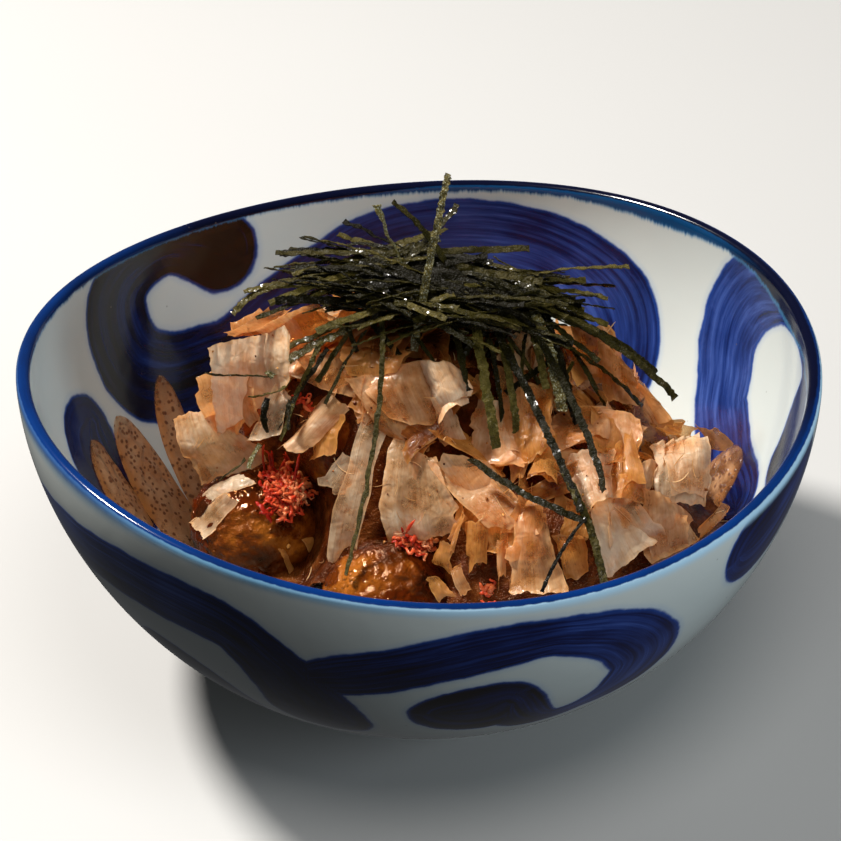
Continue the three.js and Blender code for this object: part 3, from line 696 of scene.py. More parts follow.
# ---- Pickled ginger ----
# Red pickled ginger cut into fine sticks and laid on in wet tufts, one on each of the two open balls, with a few
# sprigs that stand up and some sticks that have dropped between the balls.

# The ball that a tuft lies on, on which side, how far it spreads and how many sticks it has.
GINGER = [(0, (0.38, -0.44, 0.81), 6.6, 210), (1, (0.3, 0.02, 0.95), 4.8, 90)]
GINGER_SPRIGS = [((-40.5, 1, 51), (-41.5, 4, 60)), ((-38, 3, 51), (-36, 5, 58)), ((-36.5, -8, 49), (-36, -11, 42))]
LOOSE_GINGER = [((-31, 10, 52), 22), ((-29, -3, 78), 8), ((-4, -31, 53), 10), ((19, -45, 47), 6)]


def unit(vector):
    vector = np.asarray(vector, float)
    return vector / np.linalg.norm(vector, axis=-1, keepdims=True)


def round_stick(path, width, thickness, sides=5):
    """A closed bent stick of an oval section, rounded off at both ends."""
    tangent = unit(np.gradient(path, axis=0))
    side = unit(np.cross(tangent, (0.31, -0.2, 0.93)))
    up = np.cross(side, tangent)
    taper = np.sqrt(np.maximum(1 - np.abs(np.linspace(-1, 1, len(path))) ** 5, 0.04))[:, None, None]
    turn = np.linspace(0, 2 * np.pi, sides, endpoint=False)[None, :, None]
    ring = side[:, None] * np.cos(turn) * width / 2 + up[:, None] * np.sin(turn) * thickness / 2
    vertices = np.concatenate([(path[:, None] + ring * taper).reshape(-1, 3), path[:1], path[-1:]])
    grid, body = rings(len(path), sides)
    return vertices, np.concatenate([body[:, [0, 1, 2]], body[:, [0, 2, 3]], *end_fans(grid)])


def wet_ginger():
    recipe = Recipe("wet_pickled_ginger")
    place = recipe.place()
    tint, _, _ = recipe.attribute("mark")
    colour = recipe.ramp(
        tint + recipe.drift(place, 2, 3) * 0.5,
        (0.1, (0.50, 0.022, 0.010)),
        (0.40, (0.74, 0.075, 0.026)),
        (0.70, (0.86, 0.22, 0.075)),
        (1.0, (0.90, 0.42, 0.20)),
    )
    fibre = recipe.noise(place, 0.7, 3)
    normal = recipe.bump(fibre, 0.25)
    wet = recipe.principled(base_color=colour, roughness=0.10 + fibre * 0.12, normal=normal)
    return recipe.done(recipe.blend(0.4, wet, recipe.translucent(color=colour, normal=normal)))


def make_ginger():
    pile = Pile()
    random = np.random.default_rng(5)
    uneven = random.uniform

    def stray(amount):
        return random.normal(size=3) * amount

    def fibre(path, width, tint):
        pile.put(*round_stick(path, width, width * uneven(0.55, 0.85)), (tint, 0, 0))

    def tuft(middle, outward, spread, sticks, height):
        """Crossed, curled fibres in a low heap."""
        share = np.linspace(-1, 1, 13)[:, None]
        for _ in range(sticks):
            heading = unit(np.cross(outward, stray(1)))
            sideways = np.cross(outward, heading)
            half = spread * uneven(0.2, 0.55)
            along, beside = random.normal(size=2) * spread * 0.34
            level = height * uneven(0.0, 1.0) * math.exp(-((along**2 + beside**2) / spread**2) * 1.5)
            curl = sideways * uneven(-2.5, 2.5) + outward * uneven(-2.2, 0.8)
            centre = middle + heading * along + sideways * beside + outward * level
            path = centre + heading * half * share + curl * share**2 * (half / spread)
            for direction, depth, size in ((sideways, 0.7, 3), (outward, 0.5, 2.4)):
                path = path + direction * depth * waves(share * half, size, int(random.integers(1, 9999)))[:, None]
            # Sticks further to the right are painted paler, for light glowing through the tuft: painted light.
            pale = 0.25 + 0.05 * (centre[0] - middle[0])
            fibre(path, uneven(0.6, 1.5), np.clip(uneven(-0.1, 0.6) + pale, 0, 1))

    share = np.linspace(0, 1, 9)[:, None]
    for number, towards, spread, sticks in GINGER:
        outward = unit(towards)
        middle = BALLS[number] + outward * (BALL_RADIUS + 0.4) + (-0.4, 0, 0.8)
        tuft(middle, outward, spread * 1.1, sticks, 4.4)
        for _ in range(5):
            lean = unit(outward * 0.6 + stray(0.45) + (-0.1, 0, 1.0))
            path = middle + stray(1.6) + lean * uneven(4.5, 8.5) * share
            fibre(path + stray(1.6) * share**2, 1.0, uneven(0, 0.5))
    for foot, tip in GINGER_SPRIGS:
        for _ in range(4):
            start, end = foot + stray(0.8), tip + stray(1.2)
            path = start + (end - start) * share * uneven(0.6, 1.0)
            path = path + stray(5.0) * share * (1 - share)
            fibre(path, uneven(0.6, 1.1), uneven(0, 0.35))
    for middle, sticks in LOOSE_GINGER:
        tuft(np.array(middle, float), unit((0.1, -0.7, 0.7)), 4.5, sticks, 1.0)
    pile.make("pickled_ginger", wet_ginger(), 100)


make_ginger()


# ---- Bonito flakes ----
# Dried smoked bonito planed into shavings thinner than paper, heaped on while the balls are hot. Each flake is a
# pinkish tan leaf with a grain, frayed and browner at its edges. A few small ones have stuck to the first ball.

HEAP_BASE = 30.0
# Each hump of the heap: its middle, its height, and how far it spreads sideways and to the back.
HUMPS = [(4, 12, 95, 64, 41), (40, -16, 74, 48, 38), (-38, 16, 84, 22, 18)]
HEAP_MIDDLE = np.array([8.0, 10, 34])
BEHIND_HEAP = np.array([8.0, 60, 10])
HEAP_FLOOR = 38.0
HEAP_EDGE = 45.0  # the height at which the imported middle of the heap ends
CORE_SINK = 5.0
HEAP_LEFT_SIDE = -42.0
# The places that the loose flakes leave bare, with their reach.
BARE_SPOTS = [((-52, -20, 56), 31), ((-9, -47, 52), 20), ((-33, -10, 75), 15), ((82, -3, 56), 15)]
SMALL_FLAKES = 16
# How many, from and to which half length, how far above or below the heap's surface, how brown, and from which y on.
SCATTERED_FLAKES = [
    # These two rows lie below the heap's surface and are coloured browner and darker: painted shade under the top
    # flakes.
    (60, 6.0, 12.0, (-4.5, -1.0), (0.55, 1.2), -99),
    (120, 2.0, 5.5, (-3.5, 0.0), (0.55, 1.2), -99),
    (75, 8.0, 14.0, (-2.5, 1.5), (0.1, 0.8), 14),
]
FLAKE_HALF = 0.05  # half a flake's thickness
HEAP_DEPTH = 0.74  # the heap's depth as a share of its width
GOLDEN_ANGLE = 2.39996  # turns by this many radians never line up
SCATTER_REACH = 66  # from the heap's middle
LOWEST_FLAKE = 43
STEEPEST = 2.7  # how far apart a shaving's ends may come, in half lengths, where the heap is steep
NEAR_GAP, UNDER_GAP, SMALL_GAP, WIDE_GAP = 0.66, 1.1, 1.0, 1.25  # between the lines of a flake's mesh
LARGEST_SMALL = 13  # the half length from which a scattered flake has the wide gap

STUCK_FLAKES = [
    ((-58.5, 2, 46.5), (-49.5, 1, 52.5), (-44.5, -4.5, 52.5), (-56, -3.5, 48), 0.8, -0.4, -0.03),
    ((-61, -3, 40.5), (-57.5, -9.5, 40), (-49, -9, 49), (-52.5, -4.5, 50.5), 0.5, 0.7, 0.2),
    ((-37.5, -15.5, 39.5), (-35, -15, 38), (-32.5, -13.5, 28), (-35, -15.5, 30.5), 0.3, 0.5, 0.8),
    ((-30.5, -11.5, 40), (-26.5, -7.5, 38.5), (-25.5, -7, 33), (-29.5, -12, 36.5), 0.3, 1.2, 0.85),
    ((-28, -10, 29.5), (-25.5, -2.5, 24.5), (-25, -5, 21.5), (-28, -5.5, 21), 0.3, 0.5, 0.6),
]

# The flakes on the near side: two corners at one end, two at the other, bow along it, cup across it, how brown it is.
NEAR_FLAKES = [
    ((-56.5, 7, 90), (-32, 7, 97.5), (-33.5, -0.5, 80), (-54, 7, 61.5), 1.5, -1, -0.13),
    ((-52.5, 13, 89.5), (-41.5, 13, 96.5), (-34, 13, 95), (-48, 13, 87), 1, 0.5, 0.4),
    ((-58.5, 8, 81), (-45, 8, 87), (-42, 1.5, 70), (-56.5, 8, 57), 1, 0.5, 0.4),
    ((-38.5, 0, 83), (-34, -3.5, 79.5), (-36, -8.5, 72.5), (-45, -5.5, 66.5), 0.8, 1.2, 0.1),
    ((-25.5, -5, 85), (-19, -10.5, 83), (-31, -14, 69), (-37.5, -10, 69), -0.5, 3.4, 0.34),
    ((-66.5, 9, 65.5), (-55.5, 9, 70), (-42.5, 3, 55.5), (-61, 3, 45.5), 1.5, 2, 0.3),
    ((-44.5, 14, 90.5), (-27, 14, 99.5), (-20, 11.5, 91.5), (-34.5, 11, 82), 1.2, 1, 0.3),
    ((-24.5, 15, 91.5), (-12, 15, 98.5), (-8.5, 9.5, 95.5), (-20.5, 2.5, 90.5), 1, 1, 0.58),
    ((-21.5, 6, 92), (-2, -1, 94.5), (-6, -6.5, 90), (-19, -5, 87), 1, 0.6, 0.72),
    ((-19, -4, 87), (0, -6.5, 90), (7.5, -18, 74.5), (-8.5, -16, 76), 2, 1, 0.42),
    ((-32, 8, 84.5), (-17.5, 2, 91), (-16.5, -8.5, 83), (-25.5, -4, 82), 1, 0.6, 0.45),
    ((-29.5, -4, 76), (-19, -8.5, 78), (-20.5, -15, 69), (-29, -13, 66), 0.6, 0.5, 0.80),
    ((-14.5, -10, 84), (-9, -15, 79.5), (-16.5, -31.5, 49), (-26, -31.5, 46), 1.6, 1.2, 0.17),
    ((-20, -17, 72), (-15, -20.5, 68.5), (-19.5, -23.5, 61.5), (-27, -19.5, 63.5), 0.4, 0.5, 0.12),
    ((-8.5, -16.5, 77), (5.5, -20.5, 72), (11.5, -35, 60), (-9.5, -31.5, 50.5), 1.6, 1.6, 0.28),
    ((-1, -8.5, 96.5), (9.5, -10, 95), (14.5, -15, 89.5), (4.5, -19, 85), 0.2, 4.6, -0.2),
    ((3, -11.5, 86), (8, -12.5, 84.5), (13.5, -17.5, 76), (5.5, -18.5, 75), 0.4, 0.8, 0.22),
    ((1, -21, 71.5), (17, -23.5, 71.5), (28.5, -40, 65.5), (17, -38, 62.5), -1, 1.2, 0.34),
    ((13.5, -11, 84.5), (27.5, -11.5, 78), (26.5, -26, 72.5), (13.5, -20.5, 69.5), 0.8, 0.8, 0.4),
    ((20.5, -3, 91), (34, -4, 83.5), (34.5, -22, 75), (25, -27, 72), 1, 1.6, 0.50),
    ((31.5, -11.5, 77), (37.5, -13, 76), (35, -33, 72), (28, -30, 72.5), 0.6, 1.6, 0.68),
    ((25, -36.5, 66.5), (32.5, -37, 68.5), (37.5, -51.5, 51.5), (22, -50, 50), 1.6, 1.6, 0.42),
    ((13, -27.5, 62.5), (26, -34.5, 65), (26, -43, 56), (14, -37.5, 55.5), 0.6, 0.6, 0.6),
    ((36.5, -23.5, 76), (50.5, -17.5, 76), (50, -36, 69), (42, -40.5, 66), 1.2, 1.6, 0.18),
    ((43, -39, 68), (49.5, -33, 72), (60.5, -41.5, 59.5), (46.5, -50, 53.5), 1.6, 1, -0.09),
    ((55.5, -31, 70.5), (70.5, -29, 62.5), (73.5, -33.5, 56.5), (59, -45, 55.5), 1, 0.8, 0.4),
    ((62, -12.5, 73), (75.5, -9, 73.5), (74.5, -26.5, 62.5), (60, -34, 67.5), 2.6, 2.4, 0.06),
    ((73, -6, 72.5), (78.5, -6, 71.5), (84.5, -6, 66.5), (78, -6, 64.5), 0.5, 1.4, 0.74),
    ((61.5, -6.5, 72.5), (68.5, -2, 72), (74.5, -2, 69), (70, -2, 65.5), 0.5, 1, 0.7),
    ((46.5, 0, 78), (47.5, -8.5, 77), (58, -16, 75), (61.5, 1, 69), 0.6, 2.4, 0.36),
    ((50.5, -17.5, 76.5), (55, -14, 75.5), (55, -29.5, 72.5), (50, -34.5, 71), 0.6, 2, 0.82),
    ((56.5, -26, 74.5), (63, -20.5, 73), (60, -31.5, 70), (52, -36.5, 69.5), 0.6, 1.2, 0.34),
    ((32.5, -6.5, 82), (48, 4, 76.5), (51, -16, 75), (36, -21, 75), 0.8, 0.8, 0.52),
    ((47, -3.5, 73), (58, -9.5, 72), (56, -25.5, 72), (47.5, -26, 73.5), 0.8, 0.8, 0.5),
    ((73.5, -30.5, 58.5), (79.5, -16.5, 57.5), (85, -14, 53.5), (76, -31, 56), 0.6, 1.6, 0.66),
    ((40, 14, 93.5), (51.5, 14, 90.5), (56, 14, 77), (43.5, 1.5, 78.5), 0.8, 0.8, 0.48),
    ((47.5, 6, 92), (57.5, 6, 82), (59, 6, 72), (48.5, 4.5, 75.5), 0.8, 0.8, 0.55),
    ((11.5, -33.5, 62.5), (17, -36.5, 64), (16.5, -44, 56), (12, -44, 53), 0.6, 2, 0.84),
    ((5.5, -34.5, 56.5), (9.5, -38, 57.5), (7.5, -42.5, 51.5), (1.5, -37.5, 51), 0.6, 1.5, 0.8),
    ((10.5, -31.5, 65), (12, -33.5, 65), (8.5, -40.5, 55.5), (7.5, -39, 56), 0.5, 0.8, 0.76),
    ((19, -41, 60.5), (21.5, -41, 62), (22, -47, 55), (20, -49.5, 51.5), 0.5, 1.2, 0.55),
    ((33.5, -43, 63.5), (41.5, -42.5, 64), (44, -48, 56.5), (37.5, -50, 54), 0.6, 1.4, 0.8),
    ((2, -40.5, 48.5), (5.5, -41.5, 49.5), (9, -46.5, 47.5), (4.5, -46.5, 45), 0.4, 0.8, 0.74),
    ((7.5, -40.5, 52), (10, -41, 53.5), (12.5, -47, 49.5), (10, -47.5, 47), 0.4, 0.8, 0.5),
    ((37.5, -33, 68), (44, -35, 66.5), (42.5, -42.5, 59), (36, -41, 60.5), 0.6, 0.8, 0.85),
]

LONE_FLAKES = (5,)  # the near flakes that lie on no other
# How deep the first end of some near flakes is pleated.
PLEATED_FLAKES = {0: 0.5, 10: 0.6, 19: 0.7, 26: 1.1, 27: 0.8, 28: 1.0, 29: 0.9, 32: 0.6}


def seeded(seed):
    """Random numbers from 0 to 1, the same as in the part's own source."""
    state = seed

    def draw(low=0.0, high=1.0):
        nonlocal state
        state = (state * 1664525 + 1013904223) % 2**32
        return low + (high - low) * state / 2**32

    return draw


def heap_height(x, y):
    """The heap's surface is the highest of three smooth humps."""
    tops = [
        HEAP_BASE + (high - HEAP_BASE) * np.exp(-(np.hypot((x - middle_x) / wide, (y - middle_y) / deep) ** 3))
        for middle_x, middle_y, high, wide, deep in HUMPS
    ]
    return np.max(tops, axis=0)


def is_bare(points):
    return any(np.linalg.norm(np.subtract(point, spot)) < radius for point in points for spot, radius in BARE_SPOTS)


def turn_about(vector, axis, degrees):
    angle = math.radians(degrees)
    kept = axis * (vector @ axis)[..., None] * (1 - math.cos(angle))
    return vector * math.cos(angle) + np.cross(axis, vector) * math.sin(angle) + kept


def torn(places, length, knots, low, high, random):
    """A torn edge at places from -1 to 1: nearly straight runs between random knots, with small teeth on them."""
    at = np.concatenate([[-1], np.sort(random.uniform(-0.8, 0.8, knots)), [1]])
    line = np.interp(places, at, random.uniform(low, high, knots + 2))
    teeth = 0.0
    for size, height in ((5.0, 0.35), (2.1, 0.22), (0.9, 0.12)):
        teeth = teeth + height * np.sin(np.pi * length * places / size + random.uniform(0, 6.28))
    return line + teeth * random.uniform(0.4, 1.2) / length


def leaf(corners, bow, cup, brown, random, finest=0.8, pleats=0.0):
    """One shaving as a closed thin solid between four corners, with its marks: how brown it is, and the places
    along and across it from -1 to 1."""
    p, q, r, s = corners = np.array(corners, float)
    length = (np.linalg.norm(s - p) + np.linalg.norm(r - q)) / 2
    width = (np.linalg.norm(q - p) + np.linalg.norm(r - s)) / 2
    face = unit(np.cross(r + s - p - q, q + r - p - s))
    if np.dot(face, corners.mean(0) - BEHIND_HEAP) < 0:
        face = -face
    a = np.linspace(-1, 1, int(np.clip(length / finest, 7, 52)))[:, None]
    c = np.linspace(-1, 1, int(np.clip(width / finest, 6, 40)))[None]
    small = min(1.0, width / 12)
    ragged = 0.18 * (1 - small)
    left, right = (torn(a, length, 3, 0.80 - ragged, 1.16, random) for _ in range(2))
    near, far = (torn(c, width, 2, 0.84 - ragged, 1.12, random) for _ in range(2))
    along = a * np.where(a < 0, near, far)
    across = c * np.where(c < 0, left, right)
    u, v = along[..., None], across[..., None]
    flat = (p * (1 - u) * (1 - v) + q * (1 - u) * (1 + v) + r * (1 + u) * (1 + v) + s * (1 + u) * (1 - v)) / 4

    # It bows and cups, is crumpled along a few straight creases, and turns up or down at its edges.
    lift = bow * (1 - a**2) - cup * c**2
    x, y = along * length / 2, across * width / 2
    for _ in range(6):
        angle = random.uniform(0, math.pi)
        reach = abs(math.cos(angle)) * length + abs(math.sin(angle)) * width
        beside = x * math.cos(angle) + y * math.sin(angle) - random.uniform(-0.4, 0.4) * reach
        lift = lift + random.normal() * 0.11 * (np.sqrt(beside**2 + 0.08) - width / 4)
    seed = int(random.integers(1, 10000))
    ripples = np.stack([x * 0.4, y], -1)
    lift = lift + 0.14 * small * waves(ripples, 4.5, seed) + 0.035 * waves(ripples, 1.9, seed + 1)
    ruffle = max(0.0, random.normal() * 0.16) * small
    lift = lift + ruffle * waves(ripples * (0.3, 1.0), 2.8, seed + 2)
    lift = lift + pleats * waves((y + 0.1 * x)[..., None], 3.6, seed + 3) * ((1 - a) / 2) ** 1.5
    for curl, side, power in zip(random.uniform(-2.2, 2.2, 4) * small, (c, -c, a, -a), (3, 3, 4, 4)):
        lift = lift + curl * np.clip(side, 0, 1) ** power
    thin = FLAKE_HALF * (1 - 0.6 * np.maximum(np.abs(a), np.abs(c)) ** 6)
    marks = np.stack(np.broadcast_arrays(brown, a, c), -1).reshape(-1, 3)
    return *thin_sheet(flat + face * lift[..., None], thin), np.tile(marks, (2, 1))


def strip_corners(start, end, width, roll, random):
    """The four corners of a shaving that runs from start to end over the heap, its ends cut askew."""
    heading = unit(end - start)
    face = (start + end) / 2 - HEAP_MIDDLE
    face = unit(face - heading * np.dot(face, heading))
    side = np.cross(heading, turn_about(face, heading, roll)) * width / 2
    first, last = side * random.uniform(0.55, 1.15, 2)[:, None]
    slant, other = heading * random.uniform(-0.25, 0.25, 2)[:, None] * width
    return start - first - slant, start + first + slant, end + last + other, end - last - other


def shaved_bonito():
    recipe = Recipe("shaved_bonito")
    place = recipe.place()
    brown, along, across = recipe.attribute("mark")
    cloud = recipe.noise(place, 8, 4)
    fleck = recipe.noise(place, 1.8, 4)
    grain = recipe.noise(recipe.spot(along * 0.6 + brown * 3, across * 7.0, brown * 40), 625, 6, 0.6)
    hairs = recipe.noise(recipe.spot(along * 1.6 + brown * 7, across * 15, brown * 19), 1000, 3, 0.5)
    tone = brown.size() + (cloud - 0.5) * 0.9 + (grain - 0.5) * 0.35 + (fleck - 0.5) * 0.2 - (hairs - 0.5) * 0.12
    colour = recipe.ramp(
        tone * 0.8,
        (0.0, (0.96, 0.86, 0.67)),
        (0.24, (0.89, 0.60, 0.33)),
        (0.44, (0.76, 0.38, 0.135)),
        (0.64, (0.70, 0.35, 0.085)),
        (0.80, (0.38, 0.125, 0.025)),
        (0.95, (0.12, 0.025, 0.005)),
    )
    border = across.size().most(along.size()) + (fleck - 0.5) * 0.35
    colour = recipe.mix(border.rise(0.90, 1.06) * 0.6, colour, (0.72, 0.42, 0.14))
    colour = recipe.mix(grain.rise(0.62, 0.72) * 0.25, colour, (0.50, 0.20, 0.13))
    crumple = recipe.cells(place, 3.5, "DISTANCE_TO_EDGE").rise(0.0, 0.25)
    normal = recipe.bump(grain * 1.2 + fleck * 0.4 + crumple * 0.5 + hairs * 0.3, 0.26)
    sheet = recipe.principled(
        base_color=colour,
        roughness=0.14 + fleck * 0.16,
        normal=normal,
        specular_ior_level=0.7,
        coat_weight=0.5,
        coat_roughness=0.06,
    )
    glow = recipe.translucent(color=recipe.mix(0.35, colour, (1.0, 0.52, 0.18)), normal=normal)
    window = 0.66 - brown * 0.25 + (cloud - 0.5) * 1.1 - (hairs - 0.5) * 0.22
    window = window * (border.rise(1.05, 0.85) * 0.6 + 0.4) * brown.rise(-0.2, 0.0)
    return recipe.done(recipe.blend(window.clamp(), recipe.blend(0.45, sheet, glow), recipe.clear((1.0, 0.84, 0.62))))


bonito = shaved_bonito()


def lay(pile, *shape):
    vertices, faces, marks = leaf(*shape)
    pile.put(kept_inside(vertices), faces, marks)


def near_flakes(random):
    """Each near flake lies on another like it that peeps out at its edges."""
    pile = Pile()
    for number, (*corners, bow, cup, brown) in enumerate(NEAR_FLAKES):
        lay(pile, corners, bow, cup, brown, random, NEAR_GAP, PLEATED_FLAKES.get(number, 0.0))
        corners = np.array(corners, float)
        if np.ptp(corners, 0).max() < 9:
            continue
        middle = corners.mean(0)
        outward = unit((middle - BEHIND_HEAP) * (1, 1, 0.7))
        shift = -outward * random.uniform(1.6, 2.6) + random.normal(size=3) * 1.7
        under = middle + (corners - middle) * random.uniform(0.7, 1.1) + shift + random.normal(size=(4, 3)) * 1.3
        if not is_bare(under):
            # The shape for a lone flake is drawn all the same, so that the later ones keep theirs.
            kept = Pile() if number in LONE_FLAKES else pile
            lay(kept, under, bow, cup, brown + random.uniform(-0.1, 0.4), random, UNDER_GAP)
    return pile.make("bonito_shavings", bonito)


def shaving_ends(angle, reach, heading, half, lift):
    """The two ends of a shaving on the heap's surface, each lifted a little."""
    middle = HEAP_MIDDLE[:2] + reach * np.array([math.cos(angle), HEAP_DEPTH * math.sin(angle)])
    step = half * np.array([math.cos(heading), math.sin(heading)])
    return [np.array([x, y, heap_height(x, y) + lift()]) for x, y in (middle - step, middle + step)]


def small_flakes(random):
    pile = Pile()

    draw = seeded(3)
    for number in range(SMALL_FLAKES):
        angle, reach = number * GOLDEN_ANGLE, 12 + 50 * math.sqrt((number + 0.5) / SMALL_FLAKES)
        ends = shaving_ends(angle, reach, draw(0, 2 * math.pi), draw(8, 14), lambda: draw(-2, 2.5))
        width, roll, bow = draw(9, 17), draw(-35, 35), draw(0.5, 3)
        if not is_bare(ends) and ends[0][1] + ends[1][1] > 0:
            corners = strip_corners(*ends, width, roll, random)
            lay(pile, corners, bow, 0, random.uniform(0.15, 0.5), random)

    # Shavings of all sizes lie over the whole heap: first middling ones, then many small ones on top of them.
    for count, shortest, longest, lift, browns, front in SCATTERED_FLAKES:
        placed = 0
        while placed < count:
            angle, reach = random.uniform(0, 2 * math.pi), SCATTER_REACH * math.sqrt(random.uniform(0.01, 1))
            heading, half = random.uniform(0, 2 * math.pi), random.uniform(shortest, longest)
            ends = shaving_ends(angle, reach, heading, half, lambda: random.uniform(*lift))
            _, y, z = np.min(ends, 0)
            steep = np.linalg.norm(ends[1] - ends[0]) > STEEPEST * half
            if y < front or z < LOWEST_FLAKE or steep or is_bare([*ends, (ends[0] + ends[1]) / 2]):
                continue
            placed += 1
            width, roll = random.uniform(0.8, 1.7) * half, random.uniform(-40, 40)
            corners = strip_corners(*ends, width, roll, random)
            bow, cup = random.uniform(-0.1, 0.25) * half, random.uniform(-0.15, 0.15) * half
            gap = SMALL_GAP if longest < LARGEST_SMALL else WIDE_GAP
            lay(pile, corners, bow, cup, random.uniform(*browns), random, gap)
    pile.make("small_bonito_shavings", bonito)


def make_stuck_flakes():
    random = np.random.default_rng(8)
    pile = Pile()
    for *corners, bow, cup, brown in STUCK_FLAKES:
        middle = np.mean(corners, 0)
        pile.put(*leaf(middle + (corners - middle) * 1.2, bow, cup, brown, random, 0.4))
    pile.make("stuck_flakes", bonito)


def soaked_heap():
    recipe = Recipe("soaked_flakes")
    place = recipe.place()
    cloud = recipe.noise(place, 7, 4)
    soaked = recipe.principled(
        base_color=recipe.ramp(
            cloud, (0.3, (0.014, 0.002, 0.0006)), (0.5, (0.055, 0.010, 0.0018)), (0.72, (0.15, 0.042, 0.008))
        ),
        roughness=0.12 + cloud * 0.2,
        normal=recipe.bump(recipe.noise(place, 3, 4, 0.7), 1.6),
        specular_ior_level=0.2,
        specular_tint=(1.0, 0.62, 0.36),
    )
    return recipe.done(soaked)


def make_heap_core():
    """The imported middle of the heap: crumpled, soaked flakes that only show between the loose ones."""
    spokes, rows = 150, 44
    angle = np.linspace(0, 2 * np.pi, spokes, endpoint=False)
    direction = np.stack([np.cos(angle), np.sin(angle)], -1)
    reach = np.full((spokes, 1), 20.0)
    for _ in range(60):
        x, y = (HEAP_MIDDLE[:2] + direction * reach).T
        reach[heap_height(x, y) > HEAP_EDGE] += 1
    share = np.linspace(0, 1, rows + 1)[1:, None, None]
    x, y = np.moveaxis(HEAP_MIDDLE[:2] + direction * (share * reach), -1, 0)
    points = np.stack([x, y, heap_height(x, y) - CORE_SINK], -1)
    level = points[..., 2]
    level += 1.2 * waves(points, 8, 31) + 0.5 * waves(points, 3.5, 32)
    for middle, radius in BARE_SPOTS:
        away = np.hypot(x - middle[0], y - middle[1])
        under = middle[2] - np.sqrt(np.maximum(radius**2 - away**2, 0))
        level[:] = np.where((away < radius) & (level > under), under, level)
    level[:] = np.maximum(level, HEAP_FLOOR - 6)
    points[..., 0] = np.maximum(x, HEAP_LEFT_SIDE)
    x, y, _ = HEAP_MIDDLE
    ends = [(x, y, heap_height(x, y) - CORE_SINK), (x, y, HEAP_FLOOR - 6.2)]
    grid, faces = rings(rows, spokes)
    vertices = kept_inside(np.concatenate([points.reshape(-1, 3), ends]))
    make_piece("heap_core", vertices, [faces, *end_fans(grid)], soaked_heap())


heap_random = np.random.default_rng(17)
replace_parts(near_flakes(heap_random), "bonito_flakes")
small_flakes(heap_random)
make_heap_core()
make_stuck_flakes()


# ---- Nori shreds ----
# Toasted seaweed paper cut with scissors into fine strips and dropped on last as a loose nest. The strips are
# nearly black, crinkled and brittle, with a grain that glints, and some hang down over the flakes.

NORI_WIDTH = 2.0
NORI_HALF = 0.11
NEST_SHREDS = 23
EXTRA_SHREDS = 170
FANNED_SHREDS = 34
NEST_MIDDLE = np.array([4.0, 11, 104])
NEST_RADII = np.array([31.0, 17, 8.5])
NEST_CORE = 0.72  # the tangle's share of those
NEST_AXIS = np.array([0, 1.0, 0])
NEST_TILT = 7.0  # degrees about the axis
NEST_CLEARANCE = 3.0
NEAR_LIFT = (0, -3.2, 2.1)  # brings the near ends of shreds clear of the flakes
FOLDED_FLAKE = (-3, 15)  # from and to which x the near side of the nest leaves a folded flake bare

# Three points that a shred passes through, its width and its roll.
LOOSE_SHREDS = [
    ((7.5, 6, 141.5), (3.5, 4.9, 121), (-1.5, 0.5, 92), 2.0, 0),
    ((-11, 16, 127), (-9, 14, 122), (-4, 13, 110), 2.0, 0),
    ((-7, 20, 126), (1, 17, 119), (8, 14, 109), 2.0, 0),
    ((10, 22, 124), (4, 18, 118), (-6, 14, 109), 2.0, 0),
    ((-20, 24, 118), (-10, 20, 115), (4, 16, 110), 2.0, 0),
    ((18, 5, 101), (32, -20, 82), (41, -40, 69), 2.0, 10),
    ((37, -31, 75), (43, -42, 66), (47, -51, 54), 2.0, 10),
    ((28, 4, 100), (41, -14, 82), (47, -35, 72), 2.0, 10),
    ((-10, 4, 102), (-11, -16, 80), (-19, -37, 47), 1.4, 10),
    ((13, -23, 74), (27, -35, 71), (42.5, -41, 67), 2.0, 0),
    ((42, -41, 68), (36, -46, 61), (31, -51, 52), 0.9, 0),
    ((9, 5, 101), (11, -7, 93), (13, -11, 87), 2.0, 0),
    ((14, 5, 101), (17, -10, 89), (20, -20, 75), 2.6, 0),
    ((20, 6, 100), (24, -11, 86), (25, -17, 78), 2.0, 0),
    ((28, 12, 99), (31, 0, 92), (33, -7, 85), 2.0, 0),
    ((30, 10, 100), (35, -3, 89), (37, -10, 80), 3.0, 0),
    ((33, 10, 99), (38, -3, 86), (41, -10, 76), 2.0, 0),
    ((-6, 6, 102), (-28, 5, 91), (-40, 4, 82), 2.6, 0),
    ((24, 10, 103), (50, 7, 91), (68, 4, 75), 2.0, 0),
    ((22, 12, 102), (46, 10, 93), (63, 7, 81), 2.0, 20),
    ((14, 8, 101), (42, 6, 88), (59, 3, 73), 2.0, 0),
    ((-49, 6, 100), (-36, 10, 107), (-14, 12, 107), 2.0, 15),
    ((-46, 9, 105), (-31, 12, 107), (-12, 14, 107), 2.0, 0),
    ((-38, 19, 111), (-6, 18, 112), (29, 18, 113), 2.0, 0),
    ((-40, 6, 88), (-29, 7, 92), (-12, 9, 101), 2.0, 10),
    ((56, 24, 104), (41, 22, 104.5), (22, 20, 103), 2.0, 0),
    ((50, 14, 100), (38, 15, 102), (18, 16, 103), 2.0, 0),
]
FALLEN_SHREDS = [
    ((-40, 1, 77), (-41, -2, 73.5), (-40, -5, 70), 1.8, 10),
    ((-34, -3, 79), (-34.5, -5, 76), (-34, -8, 73), 1.6, 30),
    ((-42, -6, 67), (-44, -8, 64.5), (-45, -10, 62), 1.5, 0),
    ((-46, -7, 63), (-49, -7.5, 60), (-53, -8, 57), 1.3, 0),
    ((-40, 4, 82), (-47, 1, 84), (-56, -1, 86), 1.6, 20),
    ((-34, 2, 82), (-39, 0, 79), (-45, -1, 79), 1.7, 20),
]
PALE_SHREDS = (0, 1, 15, 17, 29)  # the ones whose shiny side glints, with the glitter painted pale into their colour
